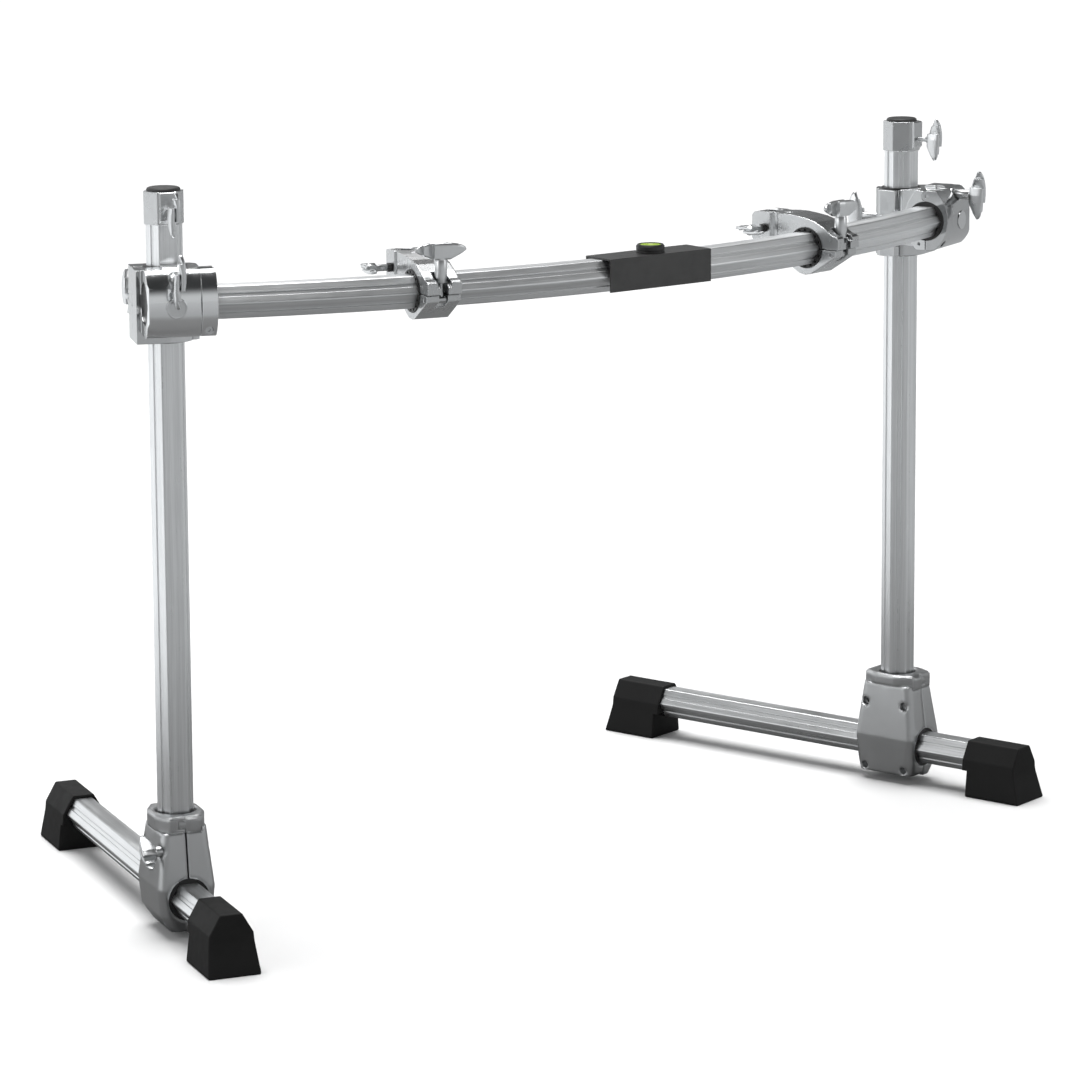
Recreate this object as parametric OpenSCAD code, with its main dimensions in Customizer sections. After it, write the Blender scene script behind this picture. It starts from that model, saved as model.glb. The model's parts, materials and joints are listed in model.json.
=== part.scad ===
// Curved drum rack frame: two upright posts on splayed feet carry a curved crossbar.
// +Z is up and the floor is z = 0. The player sits on the +Y side, the audience on the -Y side.
// The origin is on the floor, under the middle of the whole frame.

/* [Layout] */
// Distance between the two posts' axes
post_spacing = 1126; // [1040:2:1240]
// Height of the crossbar's centreline above the floor
bar_height = 751; // [640:1:760]
// Radius of the crossbar's curve, at its centreline
bar_radius = 1320; // [1200:10:1700]
// Distance from the crossbar's centreline up to each post's top end
post_above = 122; // [110:1:250]
// Turn of each foot outwards, at its front
foot_toe = 14.5; // [0:0.5:22]
// Turn of each post and its hexagonal bushes against its foot
post_turn = 4; // [0:0.5:8]
// Angle along the curve from its middle to the left multi-clamp
left_clamp_turn = 13.2; // [8:0.1:15]
// Angle along the curve from its middle to the right multi-clamp
right_clamp_turn = 12.4; // [8:0.1:15]

/* [Hexagonal tubing] */
// Distance across the tubing's flats
tube_flats = 38; // [36:0.5:39]
// Wall of the tubing
tube_wall = 2.5; // [2:0.1:3.5]
// Radius of the tubing's outer corners
tube_corner = 2.5; // [1.5:0.1:3.5]
// Width of the channel along four of the six faces
channel_width = 5.5; // [4:0.1:7]
// Depth of that channel
channel_depth = 1.2; // [0.8:0.1:1.4]
// Straight length at each end of the crossbar
bar_end = 86; // [84:1:100]

/* [Feet] */
// Height of a foot tube's centreline above the floor
foot_height = 48; // [46:0.5:56]
// Distance from the post's axis to the front cap's inner rim
front_rim = 120; // [100:1:160]
// Distance from the post's axis to the rear cap's inner rim
rear_rim = 374; // [300:1:420]
// Length of a rubber cap at its top
cap_length = 78; // [70:1:90]
// Width of a rubber cap on the floor
cap_floor_width = 64; // [58:1:72]
// Wall of a rubber cap round the tube
cap_wall = 4; // [3:0.5:5]

/* [Bushes and fits] */
// Wall of a plastic bush at the tubing's corners
bush_wall = 3.2; // [2.8:0.1:3.6]
// Gap between the tubing's flats and a bush
slide_gap = 0.25; // [0.2:0.05:0.35]
// Gap between parts that face each other at rest
seat_gap = 0.3; // [0.2:0.05:0.4]
// Radial clearance of a turning bush, bolt or pin
turn_gap = 0.05; // [0.02:0.01:0.08]
// Opening between two halves of a clamp
split_gap = 1.2; // [0.8:0.1:1.6]
// Gap between the two halves of each base
base_gap = 2.2; // [1.2:0.1:3]

/* [T-clamps] */
// Distance from a post's axis to the crossbar's axis
clamp_reach = 56; // [54:0.5:64]
// Half height of the casting round the crossbar
drum_half_height = 39; // [37:0.5:42]
// Length of the casting round the crossbar, inwards from the post's axis
drum_inward = 28.5; // [24:0.5:32]
// Length of that casting, outwards from the post's axis
drum_outward = 33; // [31:0.5:36]
// Width of the hinged ring at the casting's inner end
ring_width = 18; // [14:0.5:20]
// Top of the post's collar above the crossbar's axis
collar_above = 35; // [33:0.5:38]
// Bottom of the post's collar below the crossbar's axis
collar_below = 50; // [46:0.5:52]
// Wall of the collar round its bush
collar_wall = 7; // [6:0.5:8]

/* [Multi-clamps] */
// Width of a multi-clamp along the crossbar
multi_width = 42; // [40:1:44]
// Distance from the crossbar's axis back to the receiver's axis
arm_reach = 66; // [64:1:76]
// Radius of the receiver's bore, for a holder tube of 22.2 mm
receiver_radius = 11.2; // [10.5:0.1:11.4]
// Height of the arm's top above the crossbar's axis
arm_top = 39.5; // [38:0.5:42]
// Distance from the crossbar's axis forward to the swing bolt
swing_reach = 38; // [37:0.5:39]

/* [Bases] */
// How far each base's wing bolt stands turned from upright
base_wing_turn = 55; // [0:5:90]
// Top of the base's two castings
base_top = 126; // [122:0.5:130]
// Bottom of the base's castings above the floor
base_bottom = 9; // [6:0.5:10]
// Height of the collar on top of the base
base_collar_height = 19; // [17:0.5:22]
// Lower end of the post above the floor
post_bottom = 78; // [77:0.5:82]

/* [Wing bolts] */
// Span of the clamps' wings
wing_span = 63; // [58:1:66]
// Span of the wings on the posts' top collars and on the bases
small_wing_span = 54; // [48:1:56]
// Span of the wings on the arms
arm_wing_span = 44; // [38:1:46]
// Radius of every bolt's shank
bolt_radius = 3; // [2.5:0.1:3.2]

/* [Badge plate] */
// Length of the plate over the crossbar's middle
plate_length = 152; // [140:2:180]
// Thickness of its sheet
plate_sheet = 2; // [1.6:0.1:2.6]
// Radius of the bubble level's cup
level_radius = 17; // [15:0.5:18]
// Height of that cup
level_height = 10; // [9:0.5:13]

/* [Hidden] */
$fn = 48;

tube_corner_radius = tube_flats / 2 / cos(30) - tube_corner * (1 / cos(30) - 1);
bush_radius = tube_corner_radius + slide_gap + bush_wall;
seat_radius = bush_radius + turn_gap;
bolt_hole = bolt_radius + turn_gap;
post_top = bar_height + post_above;

// Where the crossbar's curve ends, so that a clamp on its straight end meets the post's axis.
end_to_clamp = bar_end - drum_outward + 7;
post_radius = bar_radius - clamp_reach;
clamp_angle = asin(post_spacing / 2 / norm([post_radius, end_to_clamp])) - atan2(end_to_clamp, post_radius);
curve_centre_y = post_radius * cos(clamp_angle) - end_to_clamp * sin(clamp_angle);
tube_end = drum_outward - 7;

// How far the frame reaches forward and back from the posts, and where that puts them.
foot_lean = 11;
foot_front = (front_rim + cap_length + foot_lean) * cos(foot_toe) + cap_floor_width / 2 * sin(foot_toe);
plate_front = bar_radius - curve_centre_y + tube_corner_radius + seat_gap + plate_sheet;
foot_back = (rear_rim + cap_length + foot_lean) * cos(foot_toe) + cap_floor_width / 2 * sin(foot_toe);
posts_y = (max(foot_front, plate_front) - foot_back) / 2;

// Wing bolts: depth of a wing along its bolt, and radius of its hub.
wing_depth = 20;
small_wing_depth = 18;
arm_wing_depth = 14;
hub_radius = 6.5;

// T-clamp
drum_front = bush_radius + 5.5;
// Radius of the drum's round front, which runs out into the bevel 4 mm under its flat top.
drum_round = (pow(drum_front - 17.5, 2) + pow(drum_half_height - 5.2, 2)) / (2 * (drum_front - 17.5));
front_bolt_z = bush_radius + bolt_radius + 3;
rear_bolt_x = bush_radius + bolt_radius + 3;
rear_bolt_z = -9;
collar_radius = bush_radius + collar_wall;
front_wing_seat = clamp_reach + 18;
front_wing_y = 97;
rear_wing_y = 68;
hinge_pin_radius = 2.5;
ring_pin_radius = 2;
screw_radius = 2.5;
hinge_x = -(bush_radius + 6);
knuckle_high = 3;
knuckle_low = -37;
knuckle_front = -12;
knuckle_back = 19;
ring_inner = -drum_inward - 0.6;
ring_outer = ring_inner - ring_width;
ring_pin_y = -clamp_reach - 1;
ring_boss = 7;
ring_middle = ring_outer + ring_width / 2;
ring_pin_z = bush_radius + 7;

// Multi-clamp
multi_half = multi_width / 2;
multi_wall = 8;
swing_z = -6;
swing_slot = 5;
swing_pin_radius = 2.2;
swing_seat = 19;
multi_sleeve = 7.4;
multi_hinge = -(bush_radius + 8.5);
multi_hinge_z = -6;
multi_wing_z = 40;
arm_back = arm_reach + receiver_radius + 11.5;
arm_floor = 2;
arm_pad = 19;
arm_wing_sleeve = 20;
arm_bolt_z = 19;

// Base
base_bolt_y = bush_radius + 4.5;
base_bolt_z = base_top - 21;
base_screw_y = 30;
base_screw_z = base_bottom + 10;
base_belly_outer = 35.5;
base_belly_inner = 34;
base_depth = 46;
base_neck = 27.5;
base_neck_depth = 37;
base_round = 10;
foot_bush_half = 44;
nut_flats = 10;
collar_half_depth = 38;
inner_rise = 5;
collar_half_width = 30.5;

// Badge plate: how far its middle lies from the crossbar's middle.
plate_off = -4;

// Top collar
top_collar_height = 38;
top_collar_wall = 1.8;
top_boss_half = 10;
top_boss_depth = 4;
top_bolt_drop = 22.5;
top_bolt_z = post_top - top_bolt_drop;
dome_height = 4.8;

tube_metal = [0.72, 0.73, 0.75];
chrome = [0.78, 0.80, 0.82];
pewter = [0.56, 0.57, 0.58];
black_plastic = [0.08, 0.08, 0.09];
rubber = [0.11, 0.11, 0.11];
sheet_black = [0.20, 0.20, 0.21];
level_green = [0.66, 0.80, 0.32];

// Outlines

// One round corner of a hexagon that points along angle a.
function corner_arc(flats, radius, a) = [
  for (k = [-2:2])
    (flats / 2 - radius) / cos(30) * [cos(a), sin(a)] + radius * [cos(a + 15 * k), sin(a + 15 * k)]
];

// The channel in the middle of the face whose normal has angle n.
function channel(flats, n) = [
  for (p = [[-channel_width / 2, 0], [0.6 - channel_width / 2, channel_depth],
            [channel_width / 2 - 0.6, channel_depth], [channel_width / 2, 0]])
    (flats / 2 - p[1]) * [cos(n), sin(n)] + p[0] * [-sin(n), cos(n)]
];

// A hexagon with its flats across Y; grooved gives the four slanted faces their channels.
function hexagon(flats, radius, grooved = false) = [
  for (i = [0:5])
    each concat(corner_arc(flats, radius, 60 * i),
                grooved && i != 1 && i != 4 ? channel(flats, 60 * i + 30) : [])
];

module tube_section() {
  difference() {
    polygon(hexagon(tube_flats, tube_corner, true));
    polygon(hexagon(tube_flats - 2 * tube_wall, 1));
  }
}

module hex_hole(length) {
  translate([0, 0, -length / 2])
    linear_extrude(length) polygon(hexagon(tube_flats + 2 * slide_gap, tube_corner));
}

// Extrudes an outline drawn in Y and Z along X, from x = from to x = to.
module along_x(from, to) {
  translate([from, 0, 0]) rotate([90, 0, 90]) linear_extrude(to - from) children();
}

module rod_x(radius, from, to) {
  translate([from, 0, 0]) rotate([0, 90, 0]) cylinder(r = radius, h = to - from);
}

module rod_y(radius, from, to) {
  translate([0, to, 0]) rotate([90, 0, 0]) cylinder(r = radius, h = to - from);
}

module rod_z(radius, from, to) {
  translate([0, 0, from]) cylinder(r = radius, h = to - from);
}

// Places: the left side is the right side's mirror image.

module on_side(left) {
  if (left) mirror([1, 0, 0]) children();
  else children();
}

// At a T-clamp: the post's axis at the crossbar's height, the crossbar along X at y = -clamp_reach.
module at_t_clamp(left) {
  on_side(left) translate([post_spacing / 2, posts_y, bar_height]) rotate([0, 0, clamp_angle]) children();
}

// At a leg: the floor under the post's axis, the foot along Y with its front at -Y, +X outwards.
module at_leg(left) {
  on_side(left) translate([post_spacing / 2, posts_y, 0]) rotate([0, 0, foot_toe]) children();
}

// At a post: its leg's place, turned with the post's flats.
module at_post(left) {
  at_leg(left) rotate([0, 0, post_turn]) children();
}

// At a multi-clamp: the crossbar's centreline, which runs along X there.
module at_multi(turn) {
  translate([0, posts_y + curve_centre_y, bar_height]) rotate([0, 0, turn])
    translate([0, -bar_radius, 0]) children();
}

module left_multi() {
  at_multi(-left_clamp_turn) children();
}

module right_multi() {
  at_multi(right_clamp_turn) children();
}

// Wing bolt: the wings' bolt runs down -Z, and the hub's lower face is z = 0.

module wing_blade(half, depth) {
  start = -0.3 * half;
  intersection() {
    translate([0, depth / 2, 0])
      rotate([90, 0, 0])
        linear_extrude(depth)
          polygon([[start, 0.2 * depth], [start / 2, 1], [half * 0.35, 0], [half, depth * 0.48],
                   [half * 0.86, depth * 0.74], [half * 0.66, depth * 0.9], [half * 0.42, depth * 0.98],
                   [start / 2, depth - 1], [start, 0.8 * depth]]);
    translate([0, 0, -1])
      linear_extrude(depth + 2)
        polygon([[start, 0], [start, -0.3 * depth], [0, -0.37 * depth], [half * 0.35, -0.39 * depth],
                 [half * 0.62, -0.35 * depth], [half * 0.82, -0.28 * depth], [half + 1, -0.18 * depth],
                 [half + 1, 0.05 * depth], [half * 0.67, -0.09 * depth], [half * 0.67, 0.1 * depth],
                 [half * 0.36, 0]]);
  }
}

module wing_head(span, depth) {
  hub = depth * 0.65;
  rod_z(hub_radius, 0, hub);
  translate([0, 0, hub]) scale([1, 1, 0.4]) sphere(r = hub_radius);
  for (turn = [0, 180])
    rotate([0, 0, turn]) wing_blade(span / 2, depth);
}

// A wing is never mirrored: mirrored undoes the mirroring of the left side.
module wing_bolt(span, depth, shank, sleeve_radius, sleeve, mirrored = false) {
  mirror([0, mirrored ? 1 : 0, 0]) translate([0, 0, sleeve]) wing_head(span, depth);
  if (sleeve > 0) rod_z(sleeve_radius, 0, sleeve);
  rod_z(bolt_radius, -shank, 1);
}

// Crossbar and badge plate

module crossbar_tube() {
  color(tube_metal)
    translate([0, posts_y + curve_centre_y, bar_height]) {
      rotate([0, 0, -90 - clamp_angle])
        rotate_extrude(angle = 2 * clamp_angle, $fn = 360) translate([bar_radius, 0]) tube_section();
      for (left = [false, true])
        on_side(left) rotate([0, 0, clamp_angle - 90]) translate([bar_radius, 0, 0])
          rotate([90, 0, 0]) translate([0, 0, -bar_end]) linear_extrude(bar_end) tube_section();
    }
}

module badge_plate() {
  front = tube_corner_radius + seat_gap;
  low = 1 - tube_flats / 2;
  high = tube_flats / 2 + seat_gap;
  color(sheet_black)
    at_multi(0) along_x(plate_off - plate_length / 2, plate_off + plate_length / 2)
      polygon([[-front, low], [-front, high], [front, high], [front, high - 5], [front + plate_sheet, high - 5],
               [front + plate_sheet, high + plate_sheet - 1], [front + plate_sheet - 1, high + plate_sheet],
               [1 - plate_sheet - front, high + plate_sheet], [-plate_sheet - front, high + plate_sheet - 1],
               [-plate_sheet - front, low]]);
}

module at_level() {
  at_multi(0) translate([plate_off, -3, tube_flats / 2 + seat_gap + plate_sheet]) children();
}

module level_cup() {
  color(black_plastic)
    at_level() rotate_extrude()
      polygon([[0, 0], [level_radius, 0], [level_radius, 2.4], [level_radius - 0.7, 3], [level_radius, 3.6],
               [level_radius, level_height - 2], [level_radius - 1.6, level_height],
               [level_radius - 4, level_height], [level_radius - 4, level_height - 3], [0, level_height - 3]]);
}

module level_window() {
  color(level_green)
    at_level() rotate_extrude()
      polygon([[0, level_height - 3], [level_radius - 4 - turn_gap, level_height - 3],
               [level_radius - 4 - turn_gap, level_height - 0.8], [level_radius - 6, level_height - 0.3],
               [0, level_height]]);
}

// T-clamp

// Outline, in Y and Z round the crossbar's axis, of the castings' front half.
module drum_outline() {
  h = drum_half_height;
  intersection() {
    translate([drum_round - drum_front, 1.2]) circle(r = drum_round, $fn = 128);
    polygon([[0, h], [-11, h], [-14.5, h - 1.2], [-17.5, h - 4], [-drum_front - 1, h - 4],
             [-drum_front - 1, 7 - h], [-18, 7 - h], [-14, 3 - h], [-8, 1 - h], [0, 1 - h]]);
  }
}

// Outline, in Y and Z round the crossbar's axis, of the castings' rear half.
module web_outline() {
  h = drum_half_height;
  polygon([[0, h], [18, h], [26, h - 2], [clamp_reach - split_gap, h - 4],
           [clamp_reach - split_gap, 4 - h], [22, 2 - h], [0, 1 - h]]);
}

module collar_plan() {
  r = collar_radius;
  difference() {
    union() {
      circle(r = r, $fn = 64);
      translate([0, -r]) square([rear_bolt_x + bolt_radius + 4.5, 2 * r - 6]);
    }
    translate([0, r - 6]) square([2 * r, r]);
  }
}

// The collar's outline on one side of the split plane y = 0.
module collar_half(rear) {
  r = 2 * collar_radius;
  translate([0, 0, -collar_below])
    linear_extrude(collar_above + collar_below)
      intersection() {
        collar_plan();
        translate([-r, rear ? split_gap / 2 : -2 * r - split_gap / 2]) square([2 * r, 2 * r]);
      }
}

// A hinge knuckle of the collar, which wraps the hinge's pin from both halves.
module hinge_knuckle(from, to, gap = 0) {
  f = knuckle_front - gap;
  b = knuckle_back + gap;
  x = hinge_x - 6.5 - gap;
  translate([0, 0, from])
    linear_extrude(to - from)
      polygon([[-20, f], [x + 4, f], [x, f + 4], [x, b - 6], [x + 6, b], [-20, b]]);
}

module tube_seat(from, to) {
  translate([0, -clamp_reach, 0]) rod_x(seat_radius, from, to);
}

module front_bolt_hole() {
  translate([0, 0, front_bolt_z]) rod_y(bolt_hole, -2 * clamp_reach, -clamp_reach + 30);
}

module t_clamp_body() {
  color(chrome)
    difference() {
      union() {
        difference() {
          union() {
            translate([0, -clamp_reach + split_gap / 2, 0]) along_x(-drum_inward, drum_outward) web_outline();
            collar_half(false);
          }
          hinge_knuckle(-collar_below - 1, knuckle_low + seat_gap, seat_gap);
          hinge_knuckle(knuckle_high - seat_gap, collar_above + 1, seat_gap);
        }
        hinge_knuckle(knuckle_low + seat_gap, knuckle_high - seat_gap);
        translate([0, ring_pin_y, ring_pin_z]) rod_x(ring_boss - seat_gap, ring_middle, ring_inner);
        along_x(-13, 13)
          polygon([[split_gap / 2 - clamp_reach, drum_half_height - 3],
                   [split_gap / 2 - clamp_reach, drum_half_height + 3],
                   [15 - clamp_reach, drum_half_height + 3], [20 - clamp_reach, drum_half_height - 3]]);
        translate([0, -clamp_reach + split_gap / 2, 0]) along_x(ring_outer, -drum_inward) ring_rear_outline();
      }
      tube_seat(ring_outer - 1, drum_outward + 1);
      rod_z(seat_radius, -collar_below - 1, drum_half_height + 1);
      front_bolt_hole();
      translate([rear_bolt_x, 0, rear_bolt_z]) rod_y(bolt_hole, -20, 20);
      translate([hinge_x, 0, 0]) rod_z(hinge_pin_radius + turn_gap, -collar_below - 1, collar_above + 1);
      translate([0, ring_pin_y, ring_pin_z]) rod_x(ring_pin_radius + turn_gap, ring_outer - 1, ring_inner + 1);
      translate([0, ring_pin_y, ring_pin_z]) rod_x(ring_boss, ring_outer - 1, ring_middle - seat_gap);
      translate([0, 9 - clamp_reach, 2 - ring_pin_z]) rod_x(2, ring_outer - 1, ring_outer + 6);
      translate([ring_middle, 0, 2 - ring_pin_z])
        rod_y(screw_radius + turn_gap, -2 * clamp_reach, 9 - clamp_reach);
    }
}

// Rear half of the hinged ring, which the body carries.
module ring_rear_outline() {
  h = drum_half_height;
  polygon([[0, h - 2], [8, h], [14, h], [24, 24], [30, 8], [30, -8], [22, -26], [12, -38], [0, 1 - h]]);
}

module t_clamp_drum() {
  color(chrome)
    difference() {
      union() {
        intersection() {
          translate([0, -clamp_reach - split_gap / 2, 0]) along_x(-drum_inward, drum_outward) drum_outline();
          translate([0, -clamp_reach, -drum_half_height - 1])
            linear_extrude(2 * drum_half_height + 2)
              polygon([[-drum_inward, 1], [-drum_inward, 1.2 - drum_front], [1.2 - drum_inward, -drum_front],
                       [drum_outward - 2, 3.5 - drum_front], [drum_outward, 6 - drum_front], [drum_outward, 1]]);
        }
        translate([0, 0, front_bolt_z]) rod_y(8, -front_wing_seat, -clamp_reach - split_gap / 2);
        translate([0, 0, 0]) along_x(-13, 13)
          polygon([[-clamp_reach - 15, drum_half_height - 3], [-clamp_reach - 11, drum_half_height + 3],
                   [-clamp_reach - split_gap / 2, drum_half_height + 3],
                   [-clamp_reach - split_gap / 2, drum_half_height - 3]]);
      }
      tube_seat(-drum_inward - 1, drum_outward + 1);
      front_bolt_hole();
      translate([0, 0, front_bolt_z]) rod_y(8, -2 * clamp_reach, -front_wing_seat);
    }
}

module t_clamp_ring() {
  color(chrome)
    difference() {
      union() {
        translate([0, -clamp_reach - split_gap / 2, 0]) along_x(ring_outer, ring_inner) drum_outline();
        translate([0, ring_pin_y, ring_pin_z]) rod_x(ring_boss - seat_gap, ring_outer, ring_middle - 2 * seat_gap);
      }
      translate([0, ring_pin_y, ring_pin_z]) rod_x(ring_boss, ring_middle - seat_gap, ring_inner + 1);
      tube_seat(ring_outer - 1, ring_inner + 1);
      translate([0, ring_pin_y, ring_pin_z]) rod_x(ring_pin_radius + turn_gap, ring_outer - 1, ring_inner + 1);
      translate([ring_middle, 0, 2 - ring_pin_z]) {
        rod_y(screw_radius + turn_gap, -2 * clamp_reach, 10 - clamp_reach);
        rod_y(5, -2 * clamp_reach, -clamp_reach - 12);
      }
    }
}

module t_clamp_rear_jaw() {
  color(chrome)
    difference() {
      union() {
        difference() {
          collar_half(true);
          hinge_knuckle(knuckle_low, knuckle_high, seat_gap);
        }
        hinge_knuckle(knuckle_high, collar_above);
        hinge_knuckle(-collar_below, knuckle_low);
        translate([rear_bolt_x, 0, rear_bolt_z]) rod_y(8, split_gap / 2, collar_radius + 2);
      }
      rod_z(seat_radius, -collar_below - 1, collar_above + 1);
      translate([rear_bolt_x, 0, rear_bolt_z]) rod_y(bolt_hole, -1, 2 * collar_radius);
      translate([hinge_x, 0, 0]) rod_z(hinge_pin_radius + turn_gap, -collar_below - 1, collar_above + 1);
    }
}

module t_clamp_tube_bush() {
  difference() {
    translate([0, -clamp_reach, 0]) rod_x(bush_radius, ring_outer - 0.6, drum_outward - 2);
    translate([(ring_outer + tube_end) / 2 - 20 + seat_gap, -clamp_reach, 0]) rotate([90, 0, 90])
      hex_hole(tube_end - ring_outer + 40);
  }
}

module t_clamp_tube_bushes() {
  color(black_plastic)
    for (left = [false, true]) at_t_clamp(left) t_clamp_tube_bush();
}

module t_clamp_fasteners() {
  color(pewter)
    for (left = [false, true])
      at_t_clamp(left) {
        translate([hinge_x, 0, 0]) rod_z(hinge_pin_radius, -collar_below, collar_above);
        translate([0, ring_pin_y, ring_pin_z]) rod_x(ring_pin_radius, ring_outer + 0.8, ring_inner - seat_gap);
        translate([ring_middle, -clamp_reach, 2 - ring_pin_z])
          difference() {
            union() {
              rod_y(screw_radius, -14, 8);
              rod_y(4.8, -16.5, -12);
            }
            rod_y(2, -17, -14.5, $fn = 6);
          }
      }
}

module post_bush() {
  color(black_plastic)
    difference() {
      rod_z(bush_radius, -collar_below - 1.5, collar_above + 1.5);
      rotate([0, 0, foot_toe + post_turn - clamp_angle]) hex_hole(2 * collar_below + 20);
    }
}

module t_clamp_front_wing(left) {
  color(chrome)
    translate([0, -front_wing_seat - seat_gap, front_bolt_z]) rotate([90, 90, 0])
      wing_bolt(wing_span, wing_depth, front_wing_seat - clamp_reach + 22, hub_radius,
                front_wing_y - front_wing_seat, left);
}

module t_clamp_rear_wing(left) {
  color(chrome)
    translate([rear_bolt_x, collar_radius + 2 + seat_gap, rear_bolt_z]) rotate([-90, 90, 0])
      wing_bolt(wing_span, wing_depth, collar_radius + 14, 4.8, rear_wing_y - collar_radius - 2, left);
}

// Multi-clamp

module multi_plan() {
  w = multi_half;
  difference() {
    union() {
      translate([-w, -swing_reach - 13]) square([2 * w, swing_reach + 13 + arm_reach - 16]);
      translate([-arm_pad, arm_reach - 17]) square([2 * arm_pad, arm_back - arm_reach + 8]);
      translate([6 - arm_pad, arm_reach]) square([2 * arm_pad - 12, arm_back - arm_reach]);
      for (side = [-1, 1])
        translate([side * (arm_pad - 9), arm_back - 9]) circle(r = 9);
    }
    for (side = [-1, 1])
      translate([side * (w + 2.5), arm_reach - 16]) circle(r = 8);
  }
}

module multi_outline() {
  r = bush_radius + 11;
  polygon([[-swing_reach - 12, split_gap / 2], [-swing_reach - 12, 14], [-swing_reach - 9, 16.5],
           [-swing_reach - 2, 18], [-28, 26], [-15, 32.5], [-2, 36], [12, arm_top - 1.4],
           [27, arm_top], [arm_back - 14, arm_top], [arm_back - 8, arm_top - 1.5], [arm_back - 3, arm_top - 5],
           [arm_back, arm_top - 10],
           [arm_back, arm_floor + 10], [arm_back - 2.5, arm_floor + 3.5], [arm_back - 9, arm_floor],
           [r + 14, arm_floor], [r + 6, arm_floor - 5], [-multi_hinge + 7, multi_hinge_z],
           [-multi_hinge + 5, multi_hinge_z - 5], [-multi_hinge, multi_hinge_z - 7],
           [-multi_hinge - 6, multi_hinge_z - 3], [0, split_gap / 2]]);
}

module multi_jaw_outline() {
  r = bush_radius + multi_wall;
  polygon([[-swing_reach - 8, -split_gap / 2], [-swing_reach - 8, -8], [-8, 1 - r], [0, -r - 0.5], [9, 1 - r],
           [18, 6 - r], [26, 13 - r], [-multi_hinge - 1, -15], [-multi_hinge + 5.5, multi_hinge_z - 3],
           [-multi_hinge + 6.5, multi_hinge_z], [-multi_hinge + 4, multi_hinge_z + 5],
           [-multi_hinge - 4, -split_gap / 2]]);
}

module multi_body() {
  color(chrome)
    difference() {
      intersection() {
        along_x(-multi_half - 4, multi_half + 4) multi_outline();
        translate([0, 0, -20]) linear_extrude(arm_top + 21) multi_plan();
      }
      rod_x(seat_radius, -multi_width, multi_width);
      translate([-multi_width, -bush_radius - 2, -20]) cube([2 * multi_width, bush_radius + 12, 20 + split_gap / 2]);
      translate([0, -multi_hinge, multi_hinge_z]) {
        rod_x(7.4, -8.4, 8.4);
        rod_x(hinge_pin_radius + turn_gap, -multi_width, multi_width);
      }
      translate([-8.4, 0, -20]) cube([16.8, -multi_hinge, 20 + split_gap / 2]);
      translate([-swing_slot, -swing_reach - 20, -1]) cube([2 * swing_slot, 28, 60]);
      difference() {
        translate([-9, -swing_reach - 20, 0]) cube([18, 29, 60]);
        translate([0, -swing_reach, swing_z]) rod_x(swing_seat - seat_gap, -10, 10);
      }
      translate([0, arm_reach, 0]) rod_z(receiver_radius, -20, 2 * arm_top);
      translate([0, arm_reach, arm_top - 1.2]) cylinder(r1 = receiver_radius, r2 = receiver_radius + 1.3, h = 1.3);
      translate([0, arm_reach, arm_bolt_z]) rod_x(bolt_hole, -2 * arm_pad, 0);
    }
}

module multi_jaw() {
  color(chrome)
    difference() {
      along_x(-multi_half, multi_half) multi_jaw_outline();
      rod_x(seat_radius, -multi_width, multi_width);
      for (side = [-1, 1])
        translate([side * multi_half, bush_radius + 12, -3.6 + seat_gap])
          cube([2 * (multi_half - 8.4 + seat_gap), 30, 20], center = true);
      translate([0, -multi_hinge, multi_hinge_z])
        rod_x(hinge_pin_radius + turn_gap, -multi_width, multi_width);
      translate([-swing_slot - 0.6, -swing_reach - 10, -16]) cube([2 * swing_slot + 1.2, 17, 20]);
      translate([0, -swing_reach, swing_z]) rod_x(swing_pin_radius + turn_gap, -multi_width, multi_width);
    }
}

module multi_hinge_pin() {
  color(pewter)
    translate([0, -multi_hinge, multi_hinge_z]) rod_x(hinge_pin_radius, -multi_half + 1, multi_half - 1);
}

module multi_bush() {
  half = multi_half + 1;
  color(black_plastic)
    difference() {
      rod_x(bush_radius, -half, half);
      rotate([90, 0, 90]) linear_extrude(3 * half, center = true)
        polygon(hexagon(tube_flats + 3 * slide_gap, tube_corner));
      for (k = [0:15], side = [-1, 1])
        rotate([22.5 * k, 0, 0])
          translate([side * half, 0, bush_radius - 2.8]) cube([4, 3.2, 2.8], center = true);
    }
}

module swing_bolt() {
  color(pewter)
    translate([0, -swing_reach, swing_z]) {
      rod_x(swing_pin_radius, -multi_half + 1, multi_half - 1);
      rod_x(4.6, -swing_slot + 0.4, swing_slot - 0.4);
      rod_z(bolt_radius, 0, multi_wing_z - swing_z - 2);
    }
}

module multi_wing() {
  sleeve = multi_wing_z - swing_z - swing_seat;
  color(chrome)
    translate([0, -swing_reach, swing_z + swing_seat])
      difference() {
        union() {
          rod_z(multi_sleeve, 0, sleeve);
          translate([0, 0, sleeve]) wing_head(wing_span, wing_depth);
        }
        rod_z(bolt_hole, -1, sleeve - 1.7);
      }
}

module arm_wing() {
  color(chrome)
    translate([-arm_pad - seat_gap, arm_reach, arm_bolt_z]) rotate([0, -90, 0]) rotate([0, 0, 90])
      wing_bolt(arm_wing_span, arm_wing_depth, arm_pad - receiver_radius - 0.4, 4, arm_wing_sleeve);
}

// Leg

module post() {
  color(tube_metal)
    translate([0, 0, post_bottom]) linear_extrude(post_top - post_bottom) tube_section();
}

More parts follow.
